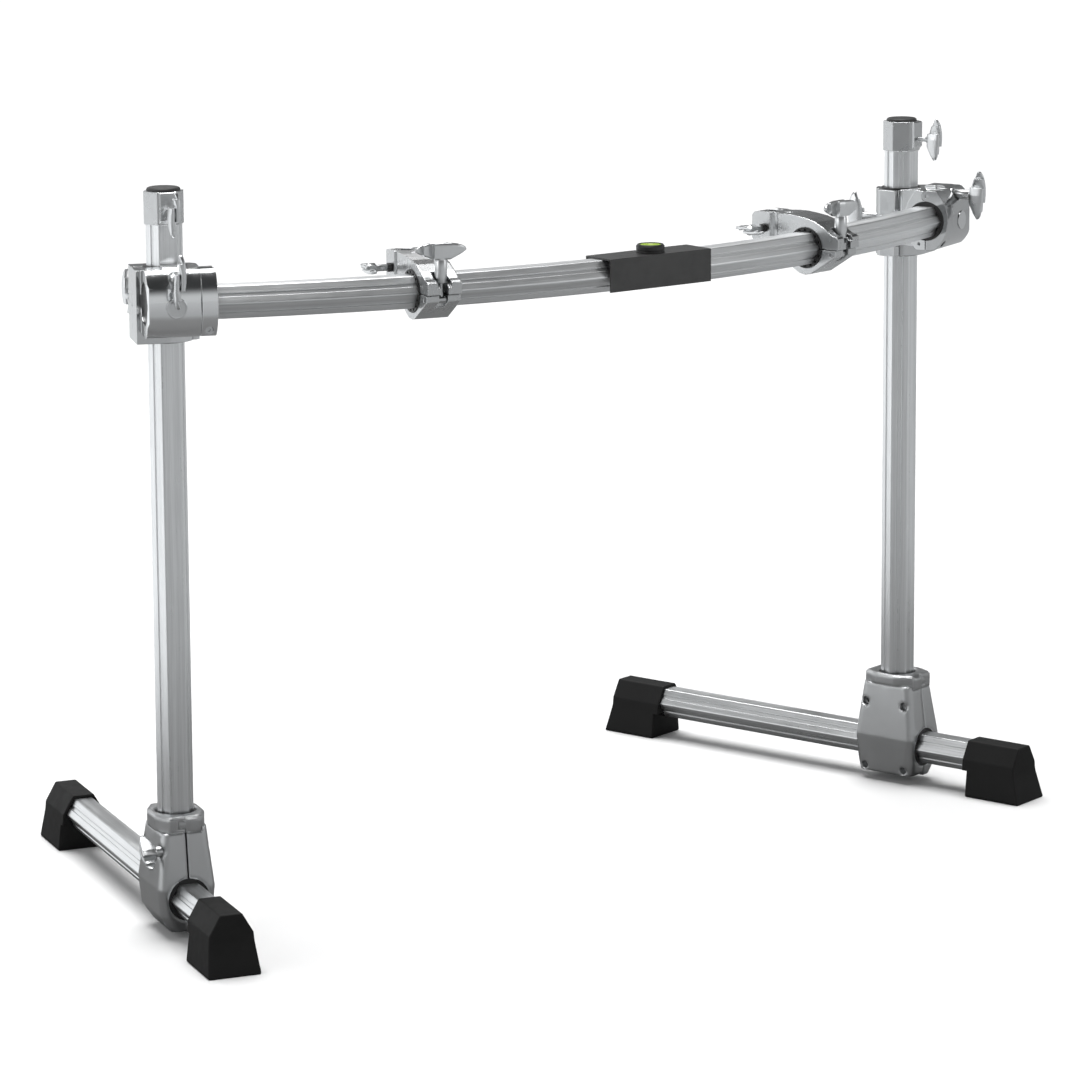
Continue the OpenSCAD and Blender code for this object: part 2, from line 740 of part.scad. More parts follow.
module top_collar() {
  outer = tube_flats / 2 + top_collar_wall;
  low = post_top - top_collar_height;
  color(chrome)
    difference() {
      union() {
        translate([0, 0, low]) linear_extrude(top_collar_height) polygon(hexagon(2 * outer, tube_corner + 1));
        along_x(-top_boss_half, top_boss_half)
          polygon([[-outer + 1, low + 1], [-outer - top_boss_depth, low + 6],
                   [-outer - top_boss_depth, post_top - 1.5], [-outer - top_boss_depth + 1.5, post_top],
                   [-outer + 1, post_top]]);
      }
      translate([0, 0, post_top]) hex_hole(4 * top_collar_height);
      translate([0, 0, top_bolt_z]) rod_y(bolt_hole, -2 * outer, 0);
    }
}

module top_plug() {
  r = tube_flats / 2 + 0.5;
  neck = tube_flats / 2 - tube_wall - 0.4;
  color(sheet_black)
    translate([0, 0, post_top]) rotate_extrude()
      polygon([[0, -12], [neck - 1, -12], [neck, -11], [neck, 0], [r, 0], [r, 1.6], [r - 0.8, 3], [r - 2.6, 3.9],
               [r * 0.6, dome_height - 0.5], [r * 0.3, dome_height - 0.1], [0, dome_height]]);
}

module top_wing(left) {
  seat = tube_flats / 2 + top_collar_wall + top_boss_depth;
  color(chrome)
    translate([0, -seat - 12, top_bolt_z]) rotate([90, 90, 0])
      wing_bolt(small_wing_span, small_wing_depth, 12 + seat - tube_flats / 2 - 0.4, 4, 3, left);
}

// One half of the base's outer form, a smooth hull from its neck to its bottom.
module base_form(outer) {
  low = outer ? base_bottom : base_bottom + 3;
  high = outer ? base_top : base_top + inner_rise;
  belly = outer ? base_belly_outer : base_belly_inner;
  stations = [[low, outer ? 20 : 30, 41], [foot_height - 20, belly - 3, base_depth - 2],
              [foot_height + 12, belly, base_depth], [high - 1, base_neck, base_neck_depth]];
  hull()
    for (s = stations) {
      for (end = [-1, 1])
        translate([s[1] - base_round, end * (s[2] - base_round), s[0]]) cylinder(r = base_round, h = 1, $fn = 32);
      translate([base_gap / 2, -s[2], s[0]]) cube([1, 2 * s[2], 1]);
    }
}

module base_bores() {
  rod_z(seat_radius, post_bottom - 1, base_top + inner_rise + 1);
  translate([0, 0, foot_height]) rod_y(seat_radius, -base_depth - 1, base_depth + 1);
  for (end = [-1, 1]) {
    translate([0, end * base_bolt_y, base_bolt_z]) rod_x(bolt_hole, -60, 60);
    translate([0, end * base_screw_y, base_screw_z]) rod_x(screw_radius + turn_gap, -60, 60);
  }
}

// The wing bolt of a base is at its front on the left and at its rear on the right.
function wing_end(left) = left ? -1 : 1;

module base_outer(left) {
  color(pewter)
    difference() {
      base_form(true);
      base_bores();
      translate([0, wing_end(left) * base_bolt_y, base_bolt_z]) rod_x(7.5, base_neck - 4, 60);
      translate([0, -wing_end(left) * base_bolt_y, base_bolt_z]) rod_x(5.6, base_neck - 8, 60);
    }
}

module base_inner() {
  color(pewter)
    difference() {
      mirror([1, 0, 0]) base_form(false);
      base_bores();
      translate([0, 0, base_top]) linear_extrude(2 * inner_rise) latch_plan(2 * seat_gap);
      for (end = [-1, 1]) {
        translate([0, end * base_bolt_y, base_bolt_z]) rod_x(6.4, -60, -base_neck + 9, $fn = 6);
        translate([0, end * base_screw_y, base_screw_z]) rod_x(5, -60, -16);
      }
    }
}

module collar_outline() {
  p = collar_half_depth;
  q = collar_half_width;
  polygon([[-20, -p], [20, -p], [q - 3, -p + 15], [q, -14], [q, 14], [q - 3, p - 16], [20, p - 2], [-20, p - 2],
           [3 - q, p - 16], [-q, 14], [-q, -14], [3 - q, 15 - p]]);
}

// Plan of the lug that carries the collar's latch, grown by gap.
module latch_plan(gap = 0) {
  translate([-9, 3 - collar_half_depth]) scale([1, 0.5]) circle(r = 11 + gap);
  translate([-9 - gap, -collar_half_depth]) square([12 + gap, collar_half_depth - bush_radius]);
}

module base_collar() {
  low = base_top + seat_gap;
  high = low + base_collar_height;
  front = -collar_half_depth - 6;
  depth = 6 + collar_half_depth - bush_radius;
  color(pewter)
    difference() {
      union() {
        translate([0, 0, low + inner_rise]) linear_extrude(base_collar_height - inner_rise - 2) collar_outline();
        translate([0, 0, high - 2]) linear_extrude(2) scale([0.95, 0.96]) collar_outline();
        translate([0, 0, low])
          linear_extrude(inner_rise + 1)
            intersection() {
              collar_outline();
              translate([0, -2 * collar_half_depth]) square(4 * collar_half_depth);
            }
        translate([0, 0, low]) linear_extrude(base_collar_height - 3) latch_plan();
      }
      rod_z(bush_radius + turn_gap, low - 1, high + 1);
      translate([0, front, low - 1]) cube([1, depth, 6]);
      translate([0, front, low + 4]) cube([9, depth, 1]);
      translate([8, front, low + 4]) cube([1, depth, 10]);
      translate([0, front, low + 13]) cube([9, depth, 1]);
      translate([0, front, low + 13]) cube([1, depth, 10]);
    }
}

module base_bushes() {
  color(black_plastic) {
    difference() {
      rod_z(bush_radius, post_bottom, base_top + base_collar_height - 3);
      translate([0, 0, base_top]) rotate([0, 0, post_turn]) hex_hole(3 * base_top);
    }
    translate([0, 0, foot_height])
      difference() {
        rod_y(bush_radius, -foot_bush_half, foot_bush_half);
        rotate([90, 0, 0]) hex_hole(4 * foot_bush_half);
      }
  }
}

module base_nut() {
  rotate([0, 90, 0]) difference() {
    cylinder(d = nut_flats / cos(30), h = 5, $fn = 6);
    translate([0, 0, -1]) cylinder(r = bolt_hole, h = 7);
  }
}

module base_screws(left) {
  color(chrome) {
    for (end = [-1, 1]) {
      translate([0, end * base_screw_y, base_screw_z])
        difference() {
          union() {
            rod_x(screw_radius, -17, 14);
            rod_x(4.8, -20.5, -16);
          }
          rod_x(2.2, -21, -18.5, $fn = 6);
        }
      translate([-base_neck + 4, end * base_bolt_y, base_bolt_z]) base_nut();
    }
    translate([0, -wing_end(left) * base_bolt_y, base_bolt_z])
      difference() {
        union() {
          rod_x(bolt_radius, -base_neck + 4, base_neck - 6);
          rod_x(5.4, base_neck - 8, base_neck - 3.5);
        }
        rod_x(2.5, base_neck - 5.5, base_neck, $fn = 6);
      }
  }
}

module base_wing(left) {
  color(chrome)
    translate([base_neck - 4 + seat_gap, wing_end(left) * base_bolt_y, base_bolt_z]) rotate([0, 90, 0])
      rotate([0, 0, -base_wing_turn])
        wing_bolt(small_wing_span - 4, small_wing_depth, 2 * base_neck - 10, hub_radius, 11, left);
}

// Feet

module foot_tube() {
  color(tube_metal)
    translate([0, rear_rim + cap_length - cap_wall, foot_height]) rotate([90, 0, 0])
      linear_extrude(front_rim + rear_rim + 2 * (cap_length - cap_wall)) tube_section();
}

// A rubber cap, with its closed end at -Y and its inner rim at y = 0.
module rubber_foot() {
  half = tube_flats / 2 + cap_wall;
  side = half / cos(30);
  low = cap_floor_width / 2;
  color(rubber)
    difference() {
      hull() {
        translate([0, 0, foot_height]) rotate([90, 0, 0]) linear_extrude(cap_length)
          polygon([[-side / 2, half], [side / 2, half], [side, 0], [side - 1, -11], [1 - side, -11], [-side, 0]]);
        linear_extrude(0.5) translate([-low, -cap_length - foot_lean]) square([2 * low, cap_length + foot_lean - 8]);
        linear_extrude(6) translate([-low, 1 - cap_length - foot_lean]) square([2 * low, cap_length + foot_lean - 9]);
      }
      translate([-low - 1, -7.5, -1]) cube([2 * low + 2, 20, foot_height - 14]);
      translate([0, cap_wall - cap_length, foot_height]) rotate([90, 0, 0]) translate([0, 0, -2 * cap_length])
        linear_extrude(2 * cap_length) polygon(hexagon(tube_flats + 0.4, tube_corner));
    }
}

module front_foot() {
  translate([0, -front_rim, 0]) rubber_foot();
}

module rear_foot() {
  translate([0, rear_rim, 0]) rotate([0, 0, 180]) rubber_foot();
}

crossbar_tube();
badge_plate();
level_cup();
level_window();
t_clamp_tube_bushes();
t_clamp_fasteners();
at_t_clamp(true) t_clamp_body();  // left_t_clamp_body
at_t_clamp(true) t_clamp_drum();  // left_t_clamp_drum
at_t_clamp(true) t_clamp_ring();  // left_t_clamp_ring
at_t_clamp(true) t_clamp_rear_jaw();  // left_t_clamp_rear_jaw
at_t_clamp(true) post_bush();  // left_post_bush
at_t_clamp(true) t_clamp_front_wing(true);  // left_t_clamp_front_wing
at_t_clamp(true) t_clamp_rear_wing(true);  // left_t_clamp_rear_wing
at_t_clamp(false) t_clamp_body();  // right_t_clamp_body
at_t_clamp(false) t_clamp_drum();  // right_t_clamp_drum
at_t_clamp(false) t_clamp_ring();  // right_t_clamp_ring
at_t_clamp(false) t_clamp_rear_jaw();  // right_t_clamp_rear_jaw
at_t_clamp(false) post_bush();  // right_post_bush
at_t_clamp(false) t_clamp_front_wing(false);  // right_t_clamp_front_wing
at_t_clamp(false) t_clamp_rear_wing(false);  // right_t_clamp_rear_wing
left_multi() multi_body();  // left_multi_body
left_multi() multi_jaw();  // left_multi_jaw
left_multi() multi_bush();  // left_multi_bush
left_multi() multi_hinge_pin();  // left_multi_hinge_pin
left_multi() swing_bolt();  // left_swing_bolt
left_multi() multi_wing();  // left_multi_wing
left_multi() arm_wing();  // left_arm_wing
right_multi() multi_body();  // right_multi_body
right_multi() multi_jaw();  // right_multi_jaw
right_multi() multi_bush();  // right_multi_bush
right_multi() multi_hinge_pin();  // right_multi_hinge_pin
right_multi() swing_bolt();  // right_swing_bolt
right_multi() multi_wing();  // right_multi_wing
right_multi() arm_wing();  // right_arm_wing
at_post(true) post();  // left_post
at_post(true) top_collar();  // left_top_collar
at_post(true) top_plug();  // left_top_plug
at_post(true) top_wing(true);  // left_top_wing
at_leg(true) base_outer(true);  // left_base_outer
at_leg(true) base_inner();  // left_base_inner
at_leg(true) base_collar();  // left_base_collar
at_leg(true) base_bushes();  // left_base_bushes
at_leg(true) base_screws(true);  // left_base_screws
at_leg(true) base_wing(true);  // left_base_wing
at_post(false) post();  // right_post
at_post(false) top_collar();  // right_top_collar
at_post(false) top_plug();  // right_top_plug
at_post(false) top_wing(false);  // right_top_wing
at_leg(false) base_outer(false);  // right_base_outer
at_leg(false) base_inner();  // right_base_inner
at_leg(false) base_collar();  // right_base_collar
at_leg(false) base_bushes();  // right_base_bushes
at_leg(false) base_screws(false);  // right_base_screws
at_leg(false) base_wing(false);  // right_base_wing
at_leg(true) foot_tube();  // left_foot_tube
at_leg(true) front_foot();  // left_front_foot
at_leg(true) rear_foot();  // left_rear_foot
at_leg(false) foot_tube();  // right_foot_tube
at_leg(false) front_foot();  // right_front_foot
at_leg(false) rear_foot();  // right_rear_foot
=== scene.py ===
"""Looks of a curved drum rack frame, built round its packed construction model.

Two posts on splayed feet carry a curved crossbar of hexagonal aluminium tube. The construction
model gives every tube, casting and bush its place. This script dresses them with procedural
finishes, and builds the pieces whose forms are softer than the construction model's: the cast
wing bolts and their washers, the moulded rubber feet, and the bare round pads on the castings.
Sizes are in millimetres here and become metres in each mesh.
"""

import json
import logging
import math
from dataclasses import dataclass, field, replace
from enum import Enum
from typing import Iterable, Sequence

import bmesh
import bpy
import numpy as np
from mathutils import Matrix, Vector

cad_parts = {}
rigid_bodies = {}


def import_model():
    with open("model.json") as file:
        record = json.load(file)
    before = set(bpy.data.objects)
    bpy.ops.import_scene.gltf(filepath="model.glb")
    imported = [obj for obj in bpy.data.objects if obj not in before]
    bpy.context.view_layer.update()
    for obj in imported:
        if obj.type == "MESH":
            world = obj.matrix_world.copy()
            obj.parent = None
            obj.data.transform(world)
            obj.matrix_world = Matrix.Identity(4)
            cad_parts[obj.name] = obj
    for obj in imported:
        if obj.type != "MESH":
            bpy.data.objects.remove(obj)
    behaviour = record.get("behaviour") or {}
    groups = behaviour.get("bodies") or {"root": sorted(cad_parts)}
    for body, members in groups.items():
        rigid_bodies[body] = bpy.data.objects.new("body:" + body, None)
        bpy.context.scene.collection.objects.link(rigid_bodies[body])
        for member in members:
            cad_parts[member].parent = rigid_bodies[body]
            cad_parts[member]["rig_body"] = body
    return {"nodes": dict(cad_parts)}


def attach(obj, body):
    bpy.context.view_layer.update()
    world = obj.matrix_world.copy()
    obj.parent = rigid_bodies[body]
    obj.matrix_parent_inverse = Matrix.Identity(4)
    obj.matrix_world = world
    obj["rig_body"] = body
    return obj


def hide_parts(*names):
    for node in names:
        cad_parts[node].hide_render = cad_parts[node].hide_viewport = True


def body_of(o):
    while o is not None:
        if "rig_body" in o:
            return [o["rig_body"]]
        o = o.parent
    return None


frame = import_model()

LOG = logging.getLogger("drum_rack")
MM = 0.001

Socket = bpy.types.NodeSocket
Node = bpy.types.Node
Tree = bpy.types.NodeTree
Material = bpy.types.Material
Pair = tuple[float, float]
Point = tuple[float, float, float]
Colour = tuple[float, float, float, float]


class Side(Enum):
    """The two sides of the rack, left and right in the photograph."""

    LEFT = "left"
    RIGHT = "right"

    @property
    def mirrored(self) -> bool:
        """True on the side that mirrors the other one."""
        return self is Side.LEFT


class Axis(Enum):
    """The axes a place can turn about."""

    X = "X"
    Y = "Y"
    Z = "Z"


class Run(Enum):
    """How the drawn grain of a tube runs."""

    ALONG_CURVE = "along the crossbar's curve"
    UPRIGHT = "up a post"
    ALONG_LEFT_FOOT = "along the left foot"
    ALONG_RIGHT_FOOT = "along the right foot"


# Places


def moved(x: float, y: float, z: float) -> np.ndarray:
    """The place that lies (x, y, z) millimetres away."""
    place = np.eye(4)
    place[:3, 3] = (x, y, z)
    return place


def turned(axis: Axis, degrees: float) -> np.ndarray:
    """The place turned about an axis by an angle in degrees."""
    return np.array(Matrix.Rotation(math.radians(degrees), 4, axis.value))


@dataclass(frozen=True)
class Layout:
    """Where the rack's sub-assemblies stand, with the construction model's own sizes.

    A drum is the round front of a T-clamp. Its shoulder is the corner where its round face begins,
    given by its distance from the crossbar's axis and by how far it lies below the drum's top.
    """

    post_spacing: float = 1126.0
    bar_height: float = 751.0
    bar_radius: float = 1320.0
    bar_end: float = 86.0
    tube_inset: float = 7.0
    post_top: float = 873.0
    foot_toe: float = 14.5
    post_turn: float = 4.0
    left_clamp_turn: float = 13.2
    right_clamp_turn: float = 12.4
    clamp_reach: float = 56.0
    split_gap: float = 1.2
    drum_outward: float = 33.0
    drum_half_height: float = 39.0
    drum_wall: float = 5.5
    drum_shoulder: Pair = (17.5, 5.2)
    drum_rise: float = 1.2
    tube_flats: float = 38.0
    bush_radius: float = 25.0026
    posts_y: float = -122.84674
    base_wing_turn: float = 55.0

    @property
    def post_offset(self) -> Pair:
        """A post's axis from the curve's centre: how far across the bar's straight end, and along it."""
        return self.bar_radius - self.clamp_reach, self.bar_end - self.drum_outward + self.tube_inset

    @property
    def clamp_angle(self) -> float:
        """Angle of the crossbar's straight ends, in degrees: there a post's offset meets its axis."""
        across, along = self.post_offset
        reach = math.asin(self.post_spacing / 2 / math.hypot(across, along))
        return math.degrees(reach - math.atan2(along, across))

    @property
    def curve_centre(self) -> float:
        """Y of the crossbar's curve centre, in the rack's frame."""
        across, along = self.post_offset
        angle = math.radians(self.clamp_angle)
        return self.posts_y + across * math.cos(angle) - along * math.sin(angle)

    def on_post_axis(self, side: Side, height: float, turn: float) -> np.ndarray:
        """The place on a post's axis at a height, turned about it, with the left one mirrored."""
        place = moved(self.post_spacing / 2, self.posts_y, height) @ turned(Axis.Z, turn)
        return np.diag([-1.0 if side.mirrored else 1.0, 1.0, 1.0, 1.0]) @ place

    def at_t_clamp(self, side: Side) -> np.ndarray:
        """The place on a post's axis at the crossbar's height, with X along the bar's straight end."""
        return self.on_post_axis(side, self.bar_height, self.clamp_angle)

    def drum_axis(self, side: Side) -> tuple[np.ndarray, np.ndarray]:
        """The axis that a drum's face is turned about.

        The face runs from the drum's front to its shoulder, so its radius is half the sum of the
        squares of that depth and height over the depth.

        Args:
            side: The drum's side.

        Returns:
            A point of the axis, in metres, and the axis's direction.
        """
        front = self.bush_radius + self.drum_wall
        deep, tall = front - self.drum_shoulder[0], self.drum_half_height - self.drum_shoulder[1]
        back = (deep**2 + tall**2) / (2 * deep) - front - self.clamp_reach - self.split_gap / 2
        place = self.at_t_clamp(side) @ moved(0.0, back, self.drum_rise)
        return place[:3, 3] * MM, place[:3, 0]

    def at_leg(self, side: Side) -> np.ndarray:
        """The place on the floor under a post, with Y back along its foot."""
        return self.on_post_axis(side, 0.0, self.foot_toe)

    def at_post(self, side: Side) -> np.ndarray:
        """The place of a post, turned with its flats."""
        return self.at_leg(side) @ turned(Axis.Z, self.post_turn)

    def at_multi(self, side: Side) -> np.ndarray:
        """The place on the crossbar's centreline under a multi-clamp."""
        return self.at_bar(-self.left_clamp_turn if side is Side.LEFT else self.right_clamp_turn)

    def at_bar(self, turn: float) -> np.ndarray:
        """The place on the crossbar's centreline at an angle along its curve, in degrees."""
        centre = moved(0.0, self.curve_centre, self.bar_height)
        return centre @ turned(Axis.Z, turn) @ moved(0.0, -self.bar_radius, 0.0)


# Surfaces


@dataclass
class Sheet:
    """A surface of two parameters: a grid of points, rows by columns, in millimetres."""

    points: np.ndarray
    ring: bool = True

    def quads(self) -> np.ndarray:
        """The grid's faces: each point, the next in its row, and the two above them.

        Returns:
            The faces' corners, four to a row.
        """
        rows, columns = self.points.shape[:2]
        index = np.arange(rows * columns).reshape(rows, columns)
        nxt = np.roll(index, -1, axis=1)
        wide = columns if self.ring else columns - 1
        corners = (index[:-1, :wide], nxt[:-1, :wide], nxt[1:, :wide], index[1:, :wide])
        return np.stack([c.ravel() for c in corners], axis=1)


def lathe(profile: Sequence[Pair], around: int) -> Sheet:
    """A turned form: each (radius, height) of the profile swept round Z.

    A point is (radius cos a, radius sin a, height), for the angle a once round.

    Args:
        profile: Each point's radius and height.
        around: Points once round.

    Returns:
        The surface.
    """
    line = np.array(profile, float)
    angle = np.linspace(0.0, 2 * np.pi, around, endpoint=False)
    grid = np.empty((len(line), around, 3))
    grid[..., 0] = line[:, :1] * np.cos(angle)
    grid[..., 1] = line[:, :1] * np.sin(angle)
    grid[..., 2] = line[:, 1:]
    return Sheet(grid)


def arched(radius: float, base: float, rise: float, start: float, count: int) -> list[Pair]:
    """A profile's arc that ends on the axis: (radius cos a, base + rise sin a), for an angle a that
    runs from a start to a quarter turn.

    Args:
        radius: The arc's half width.
        base: The height of its foot.
        rise: Its own height.
        start: Its first angle, in radians.
        count: How many points it gets.

    Returns:
        Its points, from the foot to the axis.
    """
    angles = np.linspace(start, math.pi / 2, count)
    arc = [(radius * math.cos(a), base + rise * math.sin(a)) for a in angles]
    return [*arc[:-1], (0.0, arc[-1][1])]


def rounded(corners: Sequence[Pair], radii: Sequence[float], steps: int) -> np.ndarray:
    """A closed outline with an arc in each corner.

    Each corner is replaced by an arc of its radius that touches both sides: its centre lies on the
    corner's bisector, radius / sin(half the corner) away.

    Args:
        corners: The outline's corners, anticlockwise.
        radii: The arc's radius at each corner.
        steps: Points along each arc, less one.

    Returns:
        The outline's points, one row each.
    """
    p = np.array(corners, float)
    r = np.array(radii, float)[:, None]
    back = np.roll(p, 1, axis=0) - p
    on = np.roll(p, -1, axis=0) - p
    back /= np.linalg.norm(back, axis=1, keepdims=True)
    on /= np.linalg.norm(on, axis=1, keepdims=True)
    half = np.arccos(np.clip((back * on).sum(1, keepdims=True), -1, 1)) / 2
    centre = p + (back + on) / np.linalg.norm(back + on, axis=1, keepdims=True) * r / np.sin(half)
    start = (p + back * r / np.tan(half) - centre)[:, None, :]
    end = (p + on * r / np.tan(half) - centre)[:, None, :]
    t = np.linspace(0, 1, steps + 1)[None, :, None]
    full = (np.pi - 2 * half)[:, None, :]
    blend = (np.sin((1 - t) * full) * start + np.sin(t * full) * end) / np.sin(full)
    return (centre[:, None, :] + blend).reshape(-1, 2)


def drawn_in(outline: np.ndarray, distance: np.ndarray | float) -> np.ndarray:
    """An outline moved inwards: each point goes along the mean normal of its two sides.

    Args:
        outline: The closed outline, anticlockwise.
        distance: How far each point goes.

    Returns:
        The new outline, point for point.
    """
    on = np.roll(outline, -1, axis=0) - outline
    back = outline - np.roll(outline, 1, axis=0)
    on /= np.linalg.norm(on, axis=1, keepdims=True)
    back /= np.linalg.norm(back, axis=1, keepdims=True)
    side = on + back
    side /= np.linalg.norm(side, axis=1, keepdims=True)
    return outline + np.stack([-side[:, 1], side[:, 0]], axis=1) * distance


def evened(outline: np.ndarray, count: int) -> np.ndarray:
    """A closed outline's points respaced evenly along its length.

    Args:
        outline: The closed outline.
        count: How many points it gets.

    Returns:
        Those points.
    """
    closed = np.vstack([outline, outline[:1]])
    run = np.concatenate([[0.0], np.cumsum(np.linalg.norm(np.diff(closed, axis=0), axis=1))])
    at = np.linspace(0, run[-1], count, endpoint=False)
    return np.stack([np.interp(at, run, closed[:, 0]), np.interp(at, run, closed[:, 1])], axis=1)


def piece_from(
    name: str, sheets: Iterable[Sheet], place: np.ndarray, finish: Material, sharp: float = 35.0
) -> bpy.types.Object:
    """Makes one object of several surfaces, with its place in its mesh.

    Args:
        name: The object's name.
        sheets: Its surfaces, whose points are in millimetres in their own place.
        place: Where they go in the rack's frame.
        finish: The object's material.
        sharp: Angle in degrees past which an edge stays sharp.

    Returns:
        The object, at the origin, with its faces outwards.
    """
    points, faces, count = [], [], 0
    for sheet in sheets:
        points.append(sheet.points.reshape(-1, 3))
        faces.append(sheet.quads() + count)
        count += len(points[-1])
    flat = (np.concatenate(points) @ place[:3, :3].T + place[:3, 3]) * MM
    quads = np.concatenate(faces)
    mesh = bpy.data.meshes.new(name)
    mesh.vertices.add(len(flat))
    mesh.vertices.foreach_set("co", flat.astype(np.float32).ravel())
    mesh.loops.add(quads.size)
    mesh.loops.foreach_set("vertex_index", quads.astype(np.int32).ravel())
    mesh.polygons.add(len(quads))
    mesh.polygons.foreach_set("loop_start", np.arange(0, quads.size, 4, dtype=np.int32))
    mesh.update(calc_edges=True)
    work = bmesh.new()
    work.from_mesh(mesh)
    bmesh.ops.remove_doubles(work, verts=work.verts, dist=1e-6)
    bmesh.ops.dissolve_degenerate(work, dist=1e-7, edges=work.edges)
    bmesh.ops.recalc_face_normals(work, faces=work.faces)
    work.to_mesh(mesh)
    work.free()
    mesh.shade_smooth()
    mesh.set_sharp_from_angle(angle=math.radians(sharp))
    mesh.materials.append(finish)
    piece = bpy.data.objects.new(name, mesh)
    bpy.context.scene.collection.objects.link(piece)
    return piece


# Shader parts


@dataclass
class Graph:
    """A node tree being wired: adds nodes, and feeds their inputs with outputs or plain values."""

    tree: Tree

    def feed(self, socket: Socket, value: object) -> None:
        """Joins an output to an input, or sets the input's own value.

        Args:
            socket: The input.
            value: An output, or a plain value.
        """
        if isinstance(value, Socket):
            self.tree.links.new(value, socket)
        else:
            socket.default_value = value

    def add(self, kind: str, **settings: object) -> Node:
        """Adds a node.

        Args:
            kind: The node's type.
            settings: Its properties, and what its inputs get. An input goes by its name in small
                letters, or by i and its number.

        Returns:
            The node.
        """
        node = self.tree.nodes.new(kind)
        for name, value in settings.items():
            label = name.replace("_", " ").title()
            if hasattr(node, name):
                setattr(node, name, value)
            else:
                self.feed(node.inputs[label if label in node.inputs else int(name[1:])], value)
        return node

    def maths(self, operation: str, *terms: Socket | float) -> Socket:
        """A Math node over outputs or plain numbers.

        Args:
            operation: The node's operation.
            terms: What its inputs get, in order.

        Returns:
            Its value.
        """
        node = self.add("ShaderNodeMath", operation=operation)
        for socket, term in zip(node.inputs, terms):
            self.feed(socket, term)
        return node.outputs[0]

    def vectors(self, operation: str, *terms: object) -> Socket:
        """A Vector Math node over outputs, plain vectors or a scale.

        Args:
            operation: The node's operation.
            terms: What its inputs get, in order.

        Returns:
            Its value where the operation gives a number, and its vector otherwise.
        """
        node = self.add("ShaderNodeVectorMath", operation=operation)
        sockets = (node.inputs[0], node.inputs["Scale"]) if operation == "SCALE" else node.inputs
        for socket, term in zip(sockets, terms):
            self.feed(socket, term)
        return node.outputs["Value" if operation in ("DOT_PRODUCT", "LENGTH") else "Vector"]

    def noise(self, at: Socket, scale: Socket | float, detail: float, roughness: float = 0.5) -> Socket:
        """Noise over coordinates, from 0 to 1."""
        node = self.add("ShaderNodeTexNoise", vector=at, scale=scale, detail=detail, roughness=roughness)
        return node.outputs[0]

    def ramp(
        self, value: Socket, low: float, high: float, start: float = 0.0, end: float = 1.0
    ) -> Socket:
        """A value from low to high stretched to run smoothly from start to end."""
        ends = {"i1": low, "i2": high, "i3": start, "i4": end}
        node = self.add("ShaderNodeMapRange", interpolation_type="SMOOTHSTEP", i0=value, **ends)
        return node.outputs[0]

    def blend(self, factor: Socket, first: Socket | Colour, second: Socket | Colour) -> Socket:
        """A colour between two others."""
        return self.add("ShaderNodeMix", data_type="RGBA", i0=factor, i6=first, i7=second).outputs[2]

    def bump(
        self, height: Socket, strength: float, distance: float, normal: Socket | None = None
    ) -> Socket:
        """A bump of a height over a normal.

        Args:
            height: The height, from 0 to 1.
            strength: The bump's strength.
            distance: What a height of 1 stands for, in metres.
            normal: The normal under the bump, or None for the surface's own.

        Returns:
            The new normal.
        """
        node = self.add("ShaderNodeBump", strength=strength, distance=distance)
        self.feed(node.inputs["Height"], height)
        if normal is not None:
            self.feed(node.inputs["Normal"], normal)
        return node.outputs[0]


@dataclass
class Group(Graph):
    """A shader node group being wired: takes its own inputs and gives its own outputs by name."""

    start: Node
    end: Node

    @classmethod
    def named(cls, name: str, inputs: dict[str, float | None], outputs: dict[str, str]) -> "Group":
        """An empty shader node group with named sockets.

        Args:
            name: The group's name.
            inputs: Each input's name with its value, or with None for a vector.
            outputs: Each output's name with its kind.

        Returns:
            The group, ready to be wired.
        """
        tree = bpy.data.node_groups.new(name, "ShaderNodeTree")
        for label, value in inputs.items():
            kind = "NodeSocketVector" if value is None else "NodeSocketFloat"
            socket = tree.interface.new_socket(label, in_out="INPUT", socket_type=kind)
            if value is not None:
                socket.default_value = value
        for label, kind in outputs.items():
            tree.interface.new_socket(label, in_out="OUTPUT", socket_type="NodeSocket" + kind)
        return cls(tree, tree.nodes.new("NodeGroupInput"), tree.nodes.new("NodeGroupOutput"))

    def take(self, label: str) -> Socket:
        """One of the group's inputs, to read from."""
        return self.start.outputs[label]

    def give(self, label: str, value: Socket) -> None:
        """Puts a value out of the group."""
        self.feed(self.end.inputs[label], value)


def soft_edges_group() -> Tree:
    """Rounds the light over an edge, and marks the edge.

    The normal is the mean of the normals within a radius. Where it leans from the face's own
    normal there is an edge, and the mask rises with one less the cosine between the two.

    Returns:
        The group.
    """
    group = Group.named("soft_edges", {"Radius": 0.001}, {"Normal": "Vector", "Edge": "Float"})
    mean = group.add("ShaderNodeBevel", samples=6, radius=group.take("Radius")).outputs[0]
    own = group.add("ShaderNodeNewGeometry").outputs["Normal"]
    group.give("Edge", group.ramp(group.vectors("DOT_PRODUCT", mean, own), 0.995, 0.8))
    group.give("Normal", mean)
    return group.tree


